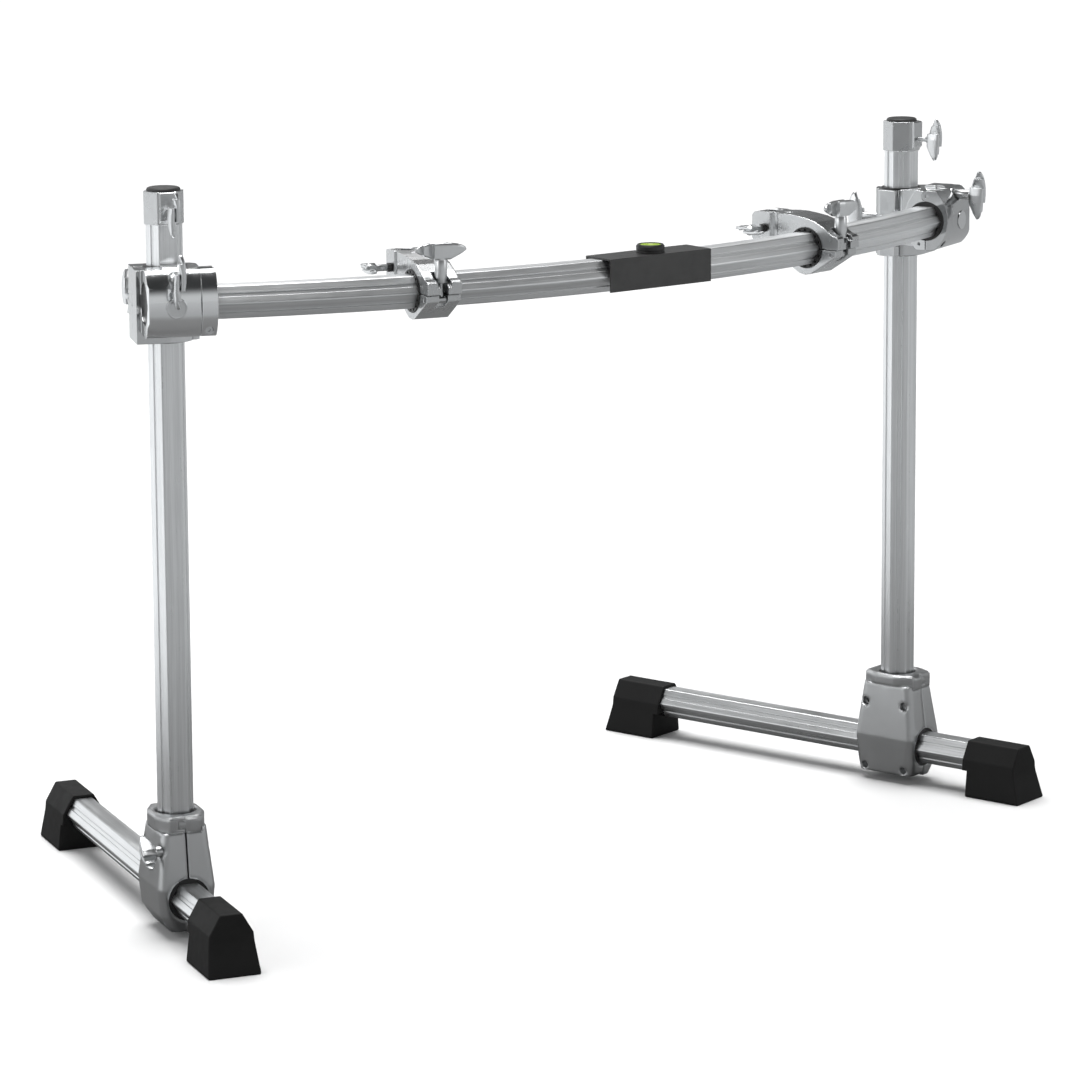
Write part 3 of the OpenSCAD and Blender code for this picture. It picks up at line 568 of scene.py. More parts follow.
def turned_face_group(name: str, point: np.ndarray, axis: np.ndarray) -> Tree:
    """Gives a face that is turned about an axis its even light, whatever facets it is made of.

    The normal points straight away from the axis: the way from the axis's point, less its part
    along the axis. It counts where the face's own normal lies near it and where there is no edge.

    Args:
        name: The group's name.
        point: A point of the axis, in metres, in the object's own frame.
        axis: The axis's direction.

    Returns:
        The group.
    """
    group = Group.named(name, {"Vector": None, "Normal": None, "Edge": 0.0}, {"Normal": "Vector"})
    way = group.vectors("SUBTRACT", group.take("Vector"), tuple(point))
    along = group.vectors("DOT_PRODUCT", way, tuple(axis))
    line = group.add("ShaderNodeCombineXYZ", i0=axis[0], i1=axis[1], i2=axis[2]).outputs[0]
    out = group.vectors("SUBTRACT", way, group.vectors("SCALE", line, along))
    spaces = {"vector_type": "NORMAL", "convert_from": "OBJECT", "convert_to": "WORLD"}
    world = group.add("ShaderNodeVectorTransform", **spaces, i0=out)
    away = group.vectors("NORMALIZE", world.outputs[0])
    own = group.add("ShaderNodeNewGeometry").outputs["True Normal"]
    near = group.ramp(group.vectors("DOT_PRODUCT", away, own), 0.9, 0.93)
    share = group.maths("MULTIPLY", near, group.maths("SUBTRACT", 1.0, group.take("Edge")))
    rest = group.maths("SUBTRACT", 1.0, share)
    given = group.vectors("SCALE", group.take("Normal"), rest)
    both = group.vectors("ADD", group.vectors("SCALE", away, share), given)
    group.give("Normal", group.vectors("NORMALIZE", both))
    return group.tree


def patches_group() -> Tree:
    """Slow cloudy change over a surface, as handling and polishing leave it: noise at one scale
    plus a third of noise at four times that scale, put out from 0 to 1.

    Returns:
        The group.
    """
    group = Group.named("patches", {"Vector": None, "Scale": 20.0}, {"Value": "Float"})
    at, scale = group.take("Vector"), group.take("Scale")
    slow = group.noise(at, scale, 3.0, 0.55)
    fast = group.noise(at, group.maths("MULTIPLY", scale, 4.0), 2.0)
    group.give("Value", group.ramp(group.maths("MULTIPLY_ADD", fast, 0.33, slow), 0.45, 0.9))
    return group.tree


def drawn_grain_group() -> Tree:
    """Fine lines along X, as drawing through a die leaves them: noise whose coordinates are
    squeezed along X, in two widths, each of which makes half of the value.

    Returns:
        The group.
    """
    group = Group.named("drawn_grain", {"Vector": None, "Fineness": 900.0}, {"Value": "Float"})
    fineness = group.take("Fineness")
    squeezed = group.vectors("MULTIPLY", group.take("Vector"), (0.012, 1.0, 1.0))
    fine = group.noise(squeezed, fineness, 2.0, 0.7)
    broad = group.noise(squeezed, group.maths("MULTIPLY", fineness, 0.2), 1.0)
    group.give("Value", group.maths("MULTIPLY_ADD", fine, 0.5, group.maths("MULTIPLY", broad, 0.5)))
    return group.tree


def curve_coordinates_group(centre_y: float, radius: float) -> Tree:
    """Coordinates that follow the crossbar: X is the angle round the curve's centre times the
    curve's radius, Y the distance from that centre, and Z the height.

    Args:
        centre_y: Y of the curve's centre, in metres.
        radius: The curve's radius, in metres.

    Returns:
        The group.
    """
    group = Group.named("curve_coordinates", {"Vector": None}, {"Vector": "Vector"})
    x, y, z = group.add("ShaderNodeSeparateXYZ", i0=group.take("Vector")).outputs
    back = group.maths("SUBTRACT", centre_y, y)
    along = group.maths("MULTIPLY", group.maths("ARCTAN2", x, back), radius)
    square = group.maths("ADD", group.maths("MULTIPLY", x, x), group.maths("MULTIPLY", back, back))
    whole = group.add("ShaderNodeCombineXYZ", i0=along, i1=group.maths("SQRT", square), i2=z)
    group.give("Vector", whole.outputs[0])
    return group.tree


@dataclass
class ShaderShelf:
    """The shared node groups, each built once."""

    layout: Layout
    groups: dict[str, Tree] = field(default_factory=dict)

    def __post_init__(self) -> None:
        """Builds every group."""
        lay = self.layout
        made = (
            soft_edges_group(),
            patches_group(),
            drawn_grain_group(),
            curve_coordinates_group(lay.curve_centre * MM, lay.bar_radius * MM),
            *(turned_face_group(side.value + "_turned_face", *lay.drum_axis(side)) for side in Side),
        )
        self.groups = {tree.name: tree for tree in made}

    def place(self, graph: Graph, name: str, **values: object) -> Node:
        """Puts a shared group into a material's tree, fed with outputs or values of its own.

        Args:
            graph: The material being wired.
            name: The group's name.
            values: What its inputs get, each named in small letters.

        Returns:
            The group's node.
        """
        node = graph.add("ShaderNodeGroup", node_tree=self.groups[name])
        for label, value in values.items():
            graph.feed(node.inputs[label.title()], value)
        return node


# Finishes


COOL = (0.975, 0.99, 1.0)


def grey(value: float, tint: Point = (1.0, 1.0, 1.0)) -> Colour:
    """A neutral colour with a slight tint."""
    return (value * tint[0], value * tint[1], value * tint[2], 1.0)


@dataclass
class Surface(Graph):
    """A material being wired, with its shader and the object coordinates that its patterns read."""

    material: Material
    shader: Node
    at: Socket

    @classmethod
    def named(cls, name: str) -> "Surface":
        """A new material of that name, ready to be wired.

        Args:
            name: The material's name.

        Returns:
            Its surface, ready to be wired.
        """
        material = bpy.data.materials.new(name)
        material.use_nodes = True
        nodes = material.node_tree.nodes
        at = nodes.new("ShaderNodeTexCoord").outputs["Object"]
        return cls(material.node_tree, material, nodes["Principled BSDF"], at)

    def spread(self, value: Socket, width: float, middle: float) -> Socket:
        """A value from 0 to 1 spread over a width round a middle."""
        return self.maths("MULTIPLY_ADD", value, width, middle - width / 2)

    def shade(self, **values: object) -> Material:
        """Feeds the shader's own inputs, named in small letters, and returns the material.

        Args:
            values: What each input gets, named in small letters.

        Returns:
            The material.
        """
        for name, value in values.items():
            label = name.replace("_", " ").title().replace("Ior", "IOR")
            self.feed(self.shader.inputs[label], value)
        return self.material


@dataclass(frozen=True)
class DrawnAluminium:
    """Satin anodised aluminium tube with fine lines along its length.

    The grain darkens and lightens the metal a little, roughens it in lines and raises them by a
    fiftieth of a millimetre. Slow patches shift the roughness, as handling does.
    """

    run: Run
    roughness: float = 0.3
    toe: float = 0.0
    tone: float = 0.74
    fineness: float = 1100.0
    line_height: float = 0.00002
    edge_radius: float = 0.0004
    patch_scale: float = 14.0

    def lead(self, surface: Surface, shelf: ShaderShelf) -> Socket:
        """Coordinates whose X runs along the tube.

        Args:
            surface: The material being wired.
            shelf: The shared shader groups.

        Returns:
            The coordinates.
        """
        if self.run is Run.ALONG_CURVE:
            return shelf.place(surface, "curve_coordinates", vector=surface.at).outputs[0]
        angle = {
            Run.UPRIGHT: (0.0, math.pi / 2, 0.0),
            Run.ALONG_RIGHT_FOOT: (0.0, 0.0, math.radians(-90 - self.toe)),
            Run.ALONG_LEFT_FOOT: (0.0, 0.0, math.radians(-90 + self.toe)),
        }[self.run]
        turn = surface.add("ShaderNodeMapping", vector=surface.at)
        turn.inputs["Rotation"].default_value = angle
        return turn.outputs[0]

    def build(self, shelf: ShaderShelf) -> Material:
        """Makes the material.

        Args:
            shelf: The shared shader groups.

        Returns:
            The material.
        """
        surface = Surface.named("aluminium_" + self.run.name.lower())
        lead = self.lead(surface, shelf)
        grain = shelf.place(surface, "drawn_grain", vector=lead, fineness=self.fineness).outputs[0]
        patches = shelf.place(surface, "patches", vector=surface.at, scale=self.patch_scale).outputs[0]
        edges = shelf.place(surface, "soft_edges", radius=self.edge_radius)
        line = surface.ramp(grain, 0.3, 0.7)
        rough = surface.spread(line, 0.08, self.roughness)
        return surface.shade(
            base_color=surface.blend(line, grey(self.tone * 0.9, COOL), grey(self.tone * 1.12, COOL)),
            roughness=surface.maths("MULTIPLY_ADD", patches, 0.05, rough),
            normal=surface.bump(grain, 0.25, self.line_height, edges.outputs["Normal"]),
            metallic=1.0,
            anisotropic=0.25,
        )


@dataclass(frozen=True)
class CastMetal:
    """A casting, polished or satin: soft edges, slow waviness from polishing, and a painted highlight
    along its edges.

    The tone brightens where the edge mask rises, a painted highlight along the edges; the roughness
    drifts with patches, and a slow noise bends the normal as hand polishing does. A fine grain gives
    satin metal its sparkle. A turned face names the group that evens its light.
    """

    name: str
    tone: float
    roughness: float
    edge_radius: float = 0.0012
    edge_highlight_gain: float = 1.15
    wave: float = 0.03
    drift: float = 0.06
    speckle: float = 0.0
    turned_face: str = ""
    patch_scale: float = 30.0
    wave_scale: float = 55.0
    wave_height: float = 0.0006
    speckle_scale: float = 2600.0
    speckle_height: float = 0.00003

    def build(self, shelf: ShaderShelf) -> Material:
        """Makes the material.

        Args:
            shelf: The shared shader groups.

        Returns:
            The material.
        """
        surface = Surface.named(self.name)
        soft = shelf.place(surface, "soft_edges", radius=self.edge_radius).outputs
        patches = shelf.place(surface, "patches", vector=surface.at, scale=self.patch_scale).outputs[0]
        body = surface.blend(patches, grey(self.tone * 0.975, COOL), grey(self.tone, COOL))
        # Painted highlight: the edges get a brighter tone, standing in for light caught on rounded
        # edges.
        rim = grey(min(self.tone * self.edge_highlight_gain, 0.95), COOL)
        normal = soft["Normal"]
        if self.turned_face:
            feeds = {"vector": surface.at, "normal": normal, "edge": soft["Edge"]}
            normal = shelf.place(surface, self.turned_face, **feeds).outputs[0]
        slow = surface.noise(surface.at, self.wave_scale, 1.0)
        normal = surface.bump(slow, self.wave, self.wave_height, normal)
        if self.speckle:
            fine = surface.noise(surface.at, self.speckle_scale, 1.0)
            normal = surface.bump(fine, self.speckle, self.speckle_height, normal)
        return surface.shade(
            base_color=surface.blend(soft["Edge"], body, rim),
            roughness=surface.spread(patches, self.drift, self.roughness),
            normal=normal,
            metallic=1.0,
        )


@dataclass(frozen=True)
class Moulded:
    """Black plastic, rubber or powder coat: a dark tone with a fine skin and paler edges.

    Two noises make the skin: fine grain for the mould's texture, and patches for the sheen.
    """

    name: str
    tone: float
    roughness: float
    grain_scale: float
    grain: float
    edge_radius: float = 0.001
    edge_tone: float = 2.0
    dust: float = 1.25
    coat: float = 0.0
    shine: float = 0.4
    drift: float = 0.1
    patch_scale: float = 22.0
    grain_height: float = 0.0001

    def build(self, shelf: ShaderShelf) -> Material:
        """Makes the material.

        Args:
            shelf: The shared shader groups.

        Returns:
            The material.
        """
        surface = Surface.named(self.name)
        soft = shelf.place(surface, "soft_edges", radius=self.edge_radius).outputs
        patches = shelf.place(surface, "patches", vector=surface.at, scale=self.patch_scale).outputs[0]
        body = surface.blend(patches, grey(self.tone), grey(self.tone * self.dust))
        # The tone is paler where the edge mask rises.
        edge_paling = surface.maths("MULTIPLY", soft["Edge"], 0.5)
        skin = surface.noise(surface.at, self.grain_scale, 3.0, 0.6)
        return surface.shade(
            base_color=surface.blend(edge_paling, body, grey(self.tone * self.edge_tone)),
            roughness=surface.spread(patches, self.drift, self.roughness),
            normal=surface.bump(skin, self.grain, self.grain_height, soft["Normal"]),
            coat_weight=self.coat,
            specular_ior_level=self.shine,
        )


@dataclass(frozen=True)
class LevelLiquid:
    """The bubble level's yellow-green window, with its bubble and two target rings.

    Distance from the window's middle draws the rings, and distance from the bubble's own middle
    draws the bubble: a pale disc with a dark rim.
    """

    centre: Point
    reach: float = 0.012
    bubble: float = 0.0042
    bubble_off: Point = (0.0011, 0.0007, 0.0)
    rings: Pair = (0.0056, 0.0088)
    line: Pair = (0.0002, 0.00035)
    liquid: tuple[Colour, Colour] = ((0.62, 0.86, 0.06, 1.0), (0.42, 0.66, 0.03, 1.0))
    air: tuple[Colour, Colour] = ((0.86, 0.95, 0.45, 1.0), (0.2, 0.32, 0.03, 1.0))
    ink: Colour = (0.02, 0.03, 0.01, 1.0)

    def build(self) -> Material:
        """Makes the material.

        Returns:
            The material.
        """
        surface = Surface.named("level_liquid")
        place = surface.add("ShaderNodeMapping", vector=surface.at)
        place.inputs["Location"].default_value = tuple(-c for c in self.centre)
        flat = surface.vectors("MULTIPLY", place.outputs[0], (1.0, 1.0, 0.0))
        away = surface.vectors("LENGTH", flat)
        colour = surface.blend(surface.ramp(away, 0.0, self.reach), *self.liquid)
        for radius in self.rings:
            off = surface.maths("ABSOLUTE", surface.maths("SUBTRACT", away, radius))
            colour = surface.blend(surface.ramp(off, *self.line, 1.0, 0.0), colour, self.ink)
        near = surface.vectors("LENGTH", surface.vectors("SUBTRACT", flat, self.bubble_off))
        inside = surface.ramp(near, self.bubble * 0.94, self.bubble, 1.0, 0.0)
        rim = surface.ramp(near, self.bubble * 0.6, self.bubble * 0.96)
        dome = surface.maths("MULTIPLY", inside, surface.ramp(near, 0.0, self.bubble, 1.0, 0.0))
        film = surface.noise(surface.at, 900.0, 2.0)
        return surface.shade(
            base_color=surface.blend(inside, colour, surface.blend(rim, *self.air)),
            normal=surface.bump(dome, 0.5, 0.0008),
            roughness=surface.maths("MULTIPLY_ADD", film, 0.06, 0.04),
            specular_ior_level=0.3,
        )


@dataclass
class FinishShelf:
    """Every finish of the rack, built once."""

    layout: Layout
    finishes: dict[str, Material] = field(default_factory=dict)

    def __post_init__(self) -> None:
        """Builds the shared shader groups and then each material."""
        chrome = CastMetal("polished_chrome", 0.6, 0.14, edge_highlight_gain=1.4, drift=0.05)
        drum = replace(chrome, turned_face="left_turned_face")
        made: dict[str, DrawnAluminium | CastMetal | Moulded] = {
            "curve": DrawnAluminium(Run.ALONG_CURVE, roughness=0.4),
            "upright": DrawnAluminium(Run.UPRIGHT),
            "left_run": DrawnAluminium(Run.ALONG_LEFT_FOOT, toe=self.layout.foot_toe),
            "right_run": DrawnAluminium(Run.ALONG_RIGHT_FOOT, toe=self.layout.foot_toe),
            "chrome": chrome,
            # The two drums are one chrome: the left one's tone is raised as painted light, and the right
            # one's is lowered as painted shade with a stronger painted edge highlight.
            "left_drum": replace(drum, name="left_drum_chrome_painted_light", tone=0.84, edge_highlight_gain=1.13),
            "right_drum": replace(
                drum, name="right_drum_chrome_painted_shade", tone=0.42, edge_highlight_gain=1.8, turned_face="right_turned_face"
            ),
            "satin": CastMetal(
                "satin_chrome", 0.52, 0.28, edge_radius=0.002, edge_highlight_gain=1.5, wave=0.0, drift=0.03
            ),
            "bright": CastMetal("bright_wing", 0.66, 0.3, edge_radius=0.0008, wave=0.0),
            "pewter": CastMetal(
                "pewter_casting", 0.5, 0.32, edge_radius=0.006, edge_highlight_gain=1.3, wave=0.05, speckle=0.12
            ),
            "steel": CastMetal("plated_steel", 0.5, 0.2, edge_radius=0.0004),
            "bush": Moulded("bush_plastic", 0.016, 0.38, 1400.0, 0.3, edge_radius=0.0006),
            "rubber": Moulded("foot_rubber", 0.009, 0.6, 1100.0, 0.4, edge_tone=1.5, shine=0.16),
            "coat": Moulded(
                "powder_coat", 0.03, 0.34, 1600.0, 0.35, edge_radius=0.0012, edge_tone=2.2, coat=0.15
            ),
            "cap": Moulded("cap_plastic", 0.035, 0.5, 1500.0, 0.3, shine=0.3),
        }
        shelf = ShaderShelf(self.layout)
        self.finishes = {name: finish.build(shelf) for name, finish in made.items()}
        level = self.layout.at_bar(0.0) @ np.array([-4.0, -3.0, 0.0, 1.0]) * MM
        self.finishes["level"] = LevelLiquid((level[0], level[1], 0.0)).build()

    def __getitem__(self, name: str) -> Material:
        """The material of that name."""
        return self.finishes[name]

    def dress(self, node: str, name: str) -> None:
        """Gives a construction node a finish by its material slots; its mesh stays as it is.

        Args:
            node: The node's name.
            name: The finish's name.
        """
        piece = frame["nodes"][node]
        if not piece.material_slots:
            piece.data.materials.append(self.finishes[name])
        for holder in piece.material_slots:
            holder.material = self.finishes[name]
        LOG.info("dressed %s in %s", node, name)


def mount(piece: bpy.types.Object, body: str, slot: str, *nodes: str) -> None:
    """Lets a piece ride on a body, and stand for any nodes it replaces.

    Args:
        piece: The piece.
        body: The body that it rides on.
        slot: The slot of its finish. It is not used.
        nodes: The construction nodes that it stands for.
    """
    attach(piece, body)
    if nodes:
        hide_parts(*nodes)
    LOG.info("built %s on %s, %d faces", piece.name, body, len(piece.data.polygons))


# Wing bolts


@dataclass
class WingBolt:
    """A cast wing bolt: two blades, smooth in front and stepped behind, on a hub, sleeve and shank.

    Its bolt runs down -Z, and z = 0 is the sleeve's lower face. One without a shank is a bored nut.
    """

    name: str
    body: str
    place: np.ndarray
    flipped: bool
    sleeve: float
    span: float = 63.0
    depth: float = 20.0
    shank: float = 0.0
    sleeve_radius: float = 6.5
    hub_radius: float = 6.5
    bolt_radius: float = 3.0
    bore_gap: float = 0.06
    pitch: float = 1.0
    steps: Pair = (0.36, 0.67)
    step_softness: float = 0.006

    def blade(self, turn: float) -> Sheet:
        """One blade, as a closed ring of points round each station from past the hub to the tip.

        At a distance x the blade runs from low(x) to high(x) along the bolt, and from rear(x) to
        front(x) across it. The front is a smooth bulge, and the rear falls in two steps to the tip.
        Each ring is a superellipse, whose half sizes are those of the two ranges.

        Args:
            turn: Its turn round the bolt, 0 or 180 degrees.

        Returns:
            The blade.
        """
        half, depth, around = self.span / 2, self.depth, 40
        start, soft, last = -0.3, self.step_softness, self.steps[1]
        near_steps = [step + soft * np.linspace(-1.0, 1.0, 5) for step in self.steps]
        share = np.unique(np.concatenate([np.linspace(start, 1.0, 66), *near_steps]))
        tip = np.clip((share - 0.3) / 0.7, 0.0, 1.0)
        high = depth * (0.5 + 0.48 * np.sqrt(np.clip(1.0 - np.abs(share) ** 2.4, 0.0, 1.0)))
        low = depth * 0.5 * tip**1.15
        front = depth * np.interp(
            share, [start, 0.0, 0.35, 0.62, 0.82, 1.0], [0.3, 0.37, 0.39, 0.35, 0.28, 0.17])
        rear = depth * np.interp(
            share, [start, self.steps[0], last - soft, last + soft, 1.0], [0.0, 0.0, -0.1, 0.09, -0.04])
        close = np.sqrt(np.clip(1.0 - np.clip((share - 0.9) / 0.1, 0.0, 1.0) ** 2, 0.0, 1.0))
        middle, wide = (front + rear) / 2, (front - rear) / 2 * close
        angle = np.linspace(0.0, 2 * np.pi, around, endpoint=False)
        c, s = np.cos(angle), np.sin(angle)
        across, thick = np.sign(s) * np.abs(s) ** 0.7, np.sign(c) * np.abs(c) ** 0.6
        x = np.repeat((share * half)[:, None], around, axis=1)
        y = middle[:, None] + wide[:, None] * thick
        z = self.sleeve + (low + high)[:, None] / 2 + (high - low)[:, None] / 2 * across
        grid = np.stack([x, y, z], axis=-1)
        end = np.broadcast_to(grid[:1].mean(axis=1, keepdims=True), grid[:1].shape)
        grid = np.concatenate([end, grid])
        grid[..., 1] *= 1.0 if self.flipped else -1.0
        grid[..., :2] *= 1.0 if turn == 0.0 else -1.0
        return Sheet(grid)

    def trunk(self) -> Sheet:
        """The hub, sleeve and shank, turned from one profile with a domed top and a waisted neck.

        A shank is ringed as by a thread. A nut ends at its hole's roof.

        Returns:
            The turned surface.
        """
        r, k, b = self.hub_radius, self.sleeve_radius, self.bolt_radius
        neck, tip = self.sleeve, -self.shank
        top = neck + self.depth * 0.65
        if self.shank:
            foot = [(0.0, tip), (b - 0.9, tip), (b - 0.35, tip + 0.6)]
            for z in np.arange(tip + 1.0, -1.0, self.pitch):
                foot += [(b - 0.4, z), (b, z + 0.5 * self.pitch)]
            foot += [(b, -0.5), (b, 0.0)]
        else:
            bore, roof = b + self.bore_gap, neck - 1.7
            foot = [(0.0, roof), (bore, roof), (bore, 0.6), (b + 0.7, 0.0)]
        wider = [(k, neck - 0.9), (r - 0.9, neck)]
        waist = [(k - 0.5, neck - 0.6), (k - 0.5, neck - 0.2)]
        collar = [(k - 0.6, 0.0), (k, 0.6), (k, neck - 1.2), *(wider if r > k + 0.5 else waist)]
        side = [(r, neck + 0.8), (r, top - 0.4), (r * math.cos(0.15), top + 0.06 * r)]
        dome = arched(r, top, 0.4 * r, 0.35, 7)
        return lathe([*foot, *collar, *side, *dome], around=40)

    def build(self, finishes: FinishShelf) -> None:
        """Makes the piece and lets it stand for its construction node."""
        sheets = [self.trunk(), self.blade(0.0), self.blade(180.0)]
        piece = piece_from(self.name + "_cast", sheets, self.place, finishes["bright"], sharp=50.0)
        mount(piece, self.body, "bolt", self.name)


@dataclass
class WingBolts:
    """The twelve wing bolts of the rack, placed as the construction model places them.

    A seat is where a bolt's sleeve begins, in the frame of the casting that it screws into.
    """

    layout: Layout
    finishes: FinishShelf
    bolt_off: float = 6.0
    collar_wall: float = 7.0
    front_seat: float = 74.3
    rear_gap: float = 2.3
    rear_height: float = -9.0
    rear_end: float = 68.0
    top_wall: float = 5.8
    top_lug: float = 12.0
    top_drop: float = 22.5
    base_seat: Point = (23.8, 4.5, 105.0)
    nut_seat: Point = (0.0, -38.0, 13.0)
    arm_seat: Point = (-19.3, 66.0, 19.0)

    def on_side(self, side: Side) -> list[WingBolt]:
        """A side's six: the T-clamp's front and rear ones, and then those of the post's top collar,
        of the base, of the multi-clamp's swing bolt and of its receiver.

        The base's is at its front on the left and at its rear on the right.

        Args:
            side: The side.

        Returns:
            The bolts, the receiver's last.
        """
        lay, end = self.layout, -1 if side is Side.LEFT else 1
        bolt, collar = lay.bush_radius + self.bolt_off, lay.bush_radius + self.collar_wall
        clamp = lay.at_t_clamp(side)
        front = clamp @ moved(0, -self.front_seat, bolt) @ turned(Axis.Y, 90) @ turned(Axis.X, 90)
        rear = clamp @ moved(bolt, collar + self.rear_gap, self.rear_height)
        rear = rear @ turned(Axis.Y, 90) @ turned(Axis.X, -90)
        top_front = lay.tube_flats / 2 + self.top_wall + self.top_lug
        top = lay.at_post(side) @ moved(0, -top_front, lay.post_top - self.top_drop)
        top = top @ turned(Axis.Y, 90) @ turned(Axis.X, 90)
        x, gap, z = self.base_seat
        base = lay.at_leg(side) @ moved(x, end * (lay.bush_radius + gap), z)
        base = base @ turned(Axis.Y, 90) @ turned(Axis.Z, -lay.base_wing_turn)
        nut = lay.at_multi(side) @ moved(*self.nut_seat)
        arm = lay.at_multi(side) @ moved(*self.arm_seat) @ turned(Axis.Y, -90) @ turned(Axis.Z, 90)
        s, rear_sleeve = side.value + "_", self.rear_end - collar - 2

        def made(name: str, place: np.ndarray, **sizes: float) -> WingBolt:
            """One of the side's wing bolts, on the body named after it."""
            body = s + name.replace("multi_wing", "multi_nut").replace("_wing", "_wing_bolt")
            return WingBolt(s + name, body, place, **{"flipped": side.mirrored, **sizes})

        return [
            made("t_clamp_front_wing", front, shank=40, sleeve=23),
            made("t_clamp_rear_wing", rear, shank=collar + 14, sleeve_radius=4.8, sleeve=rear_sleeve),
            made("top_wing", top, span=54, depth=18, shank=17.4, sleeve_radius=4, sleeve=3),
            made("base_wing", base, span=50, depth=18, shank=45, sleeve=11),
            made("multi_wing", nut, sleeve_radius=7.4, sleeve=27, flipped=False),
            made(
                "arm_wing", arm, span=44, depth=14, shank=7.4, sleeve=20, sleeve_radius=4, flipped=False
            ),
        ]

    def washer(self, arm: WingBolt) -> None:
        """The short black washer between an arm and its wing bolt: a turned ring with round edges.

        Args:
            arm: The wing bolt that it sits under.
        """
        ring = [(3.95, 0.0), (4.9, 0.0), (5.3, 0.4), (5.3, 4.2), (4.9, 4.6), (3.95, 4.6), (3.95, 0.0)]
        name = arm.name.replace("_wing", "_washer")
        piece = piece_from(name, [lathe(ring, 32)], arm.place, self.finishes["bush"])
        mount(piece, arm.body, "bush")

    def build(self) -> None:
        """Builds all twelve, and the two washers."""
        for side in Side:
            bolts = self.on_side(side)
            for bolt in bolts:
                bolt.build(self.finishes)
            self.washer(bolts[-1])


# Rubber feet


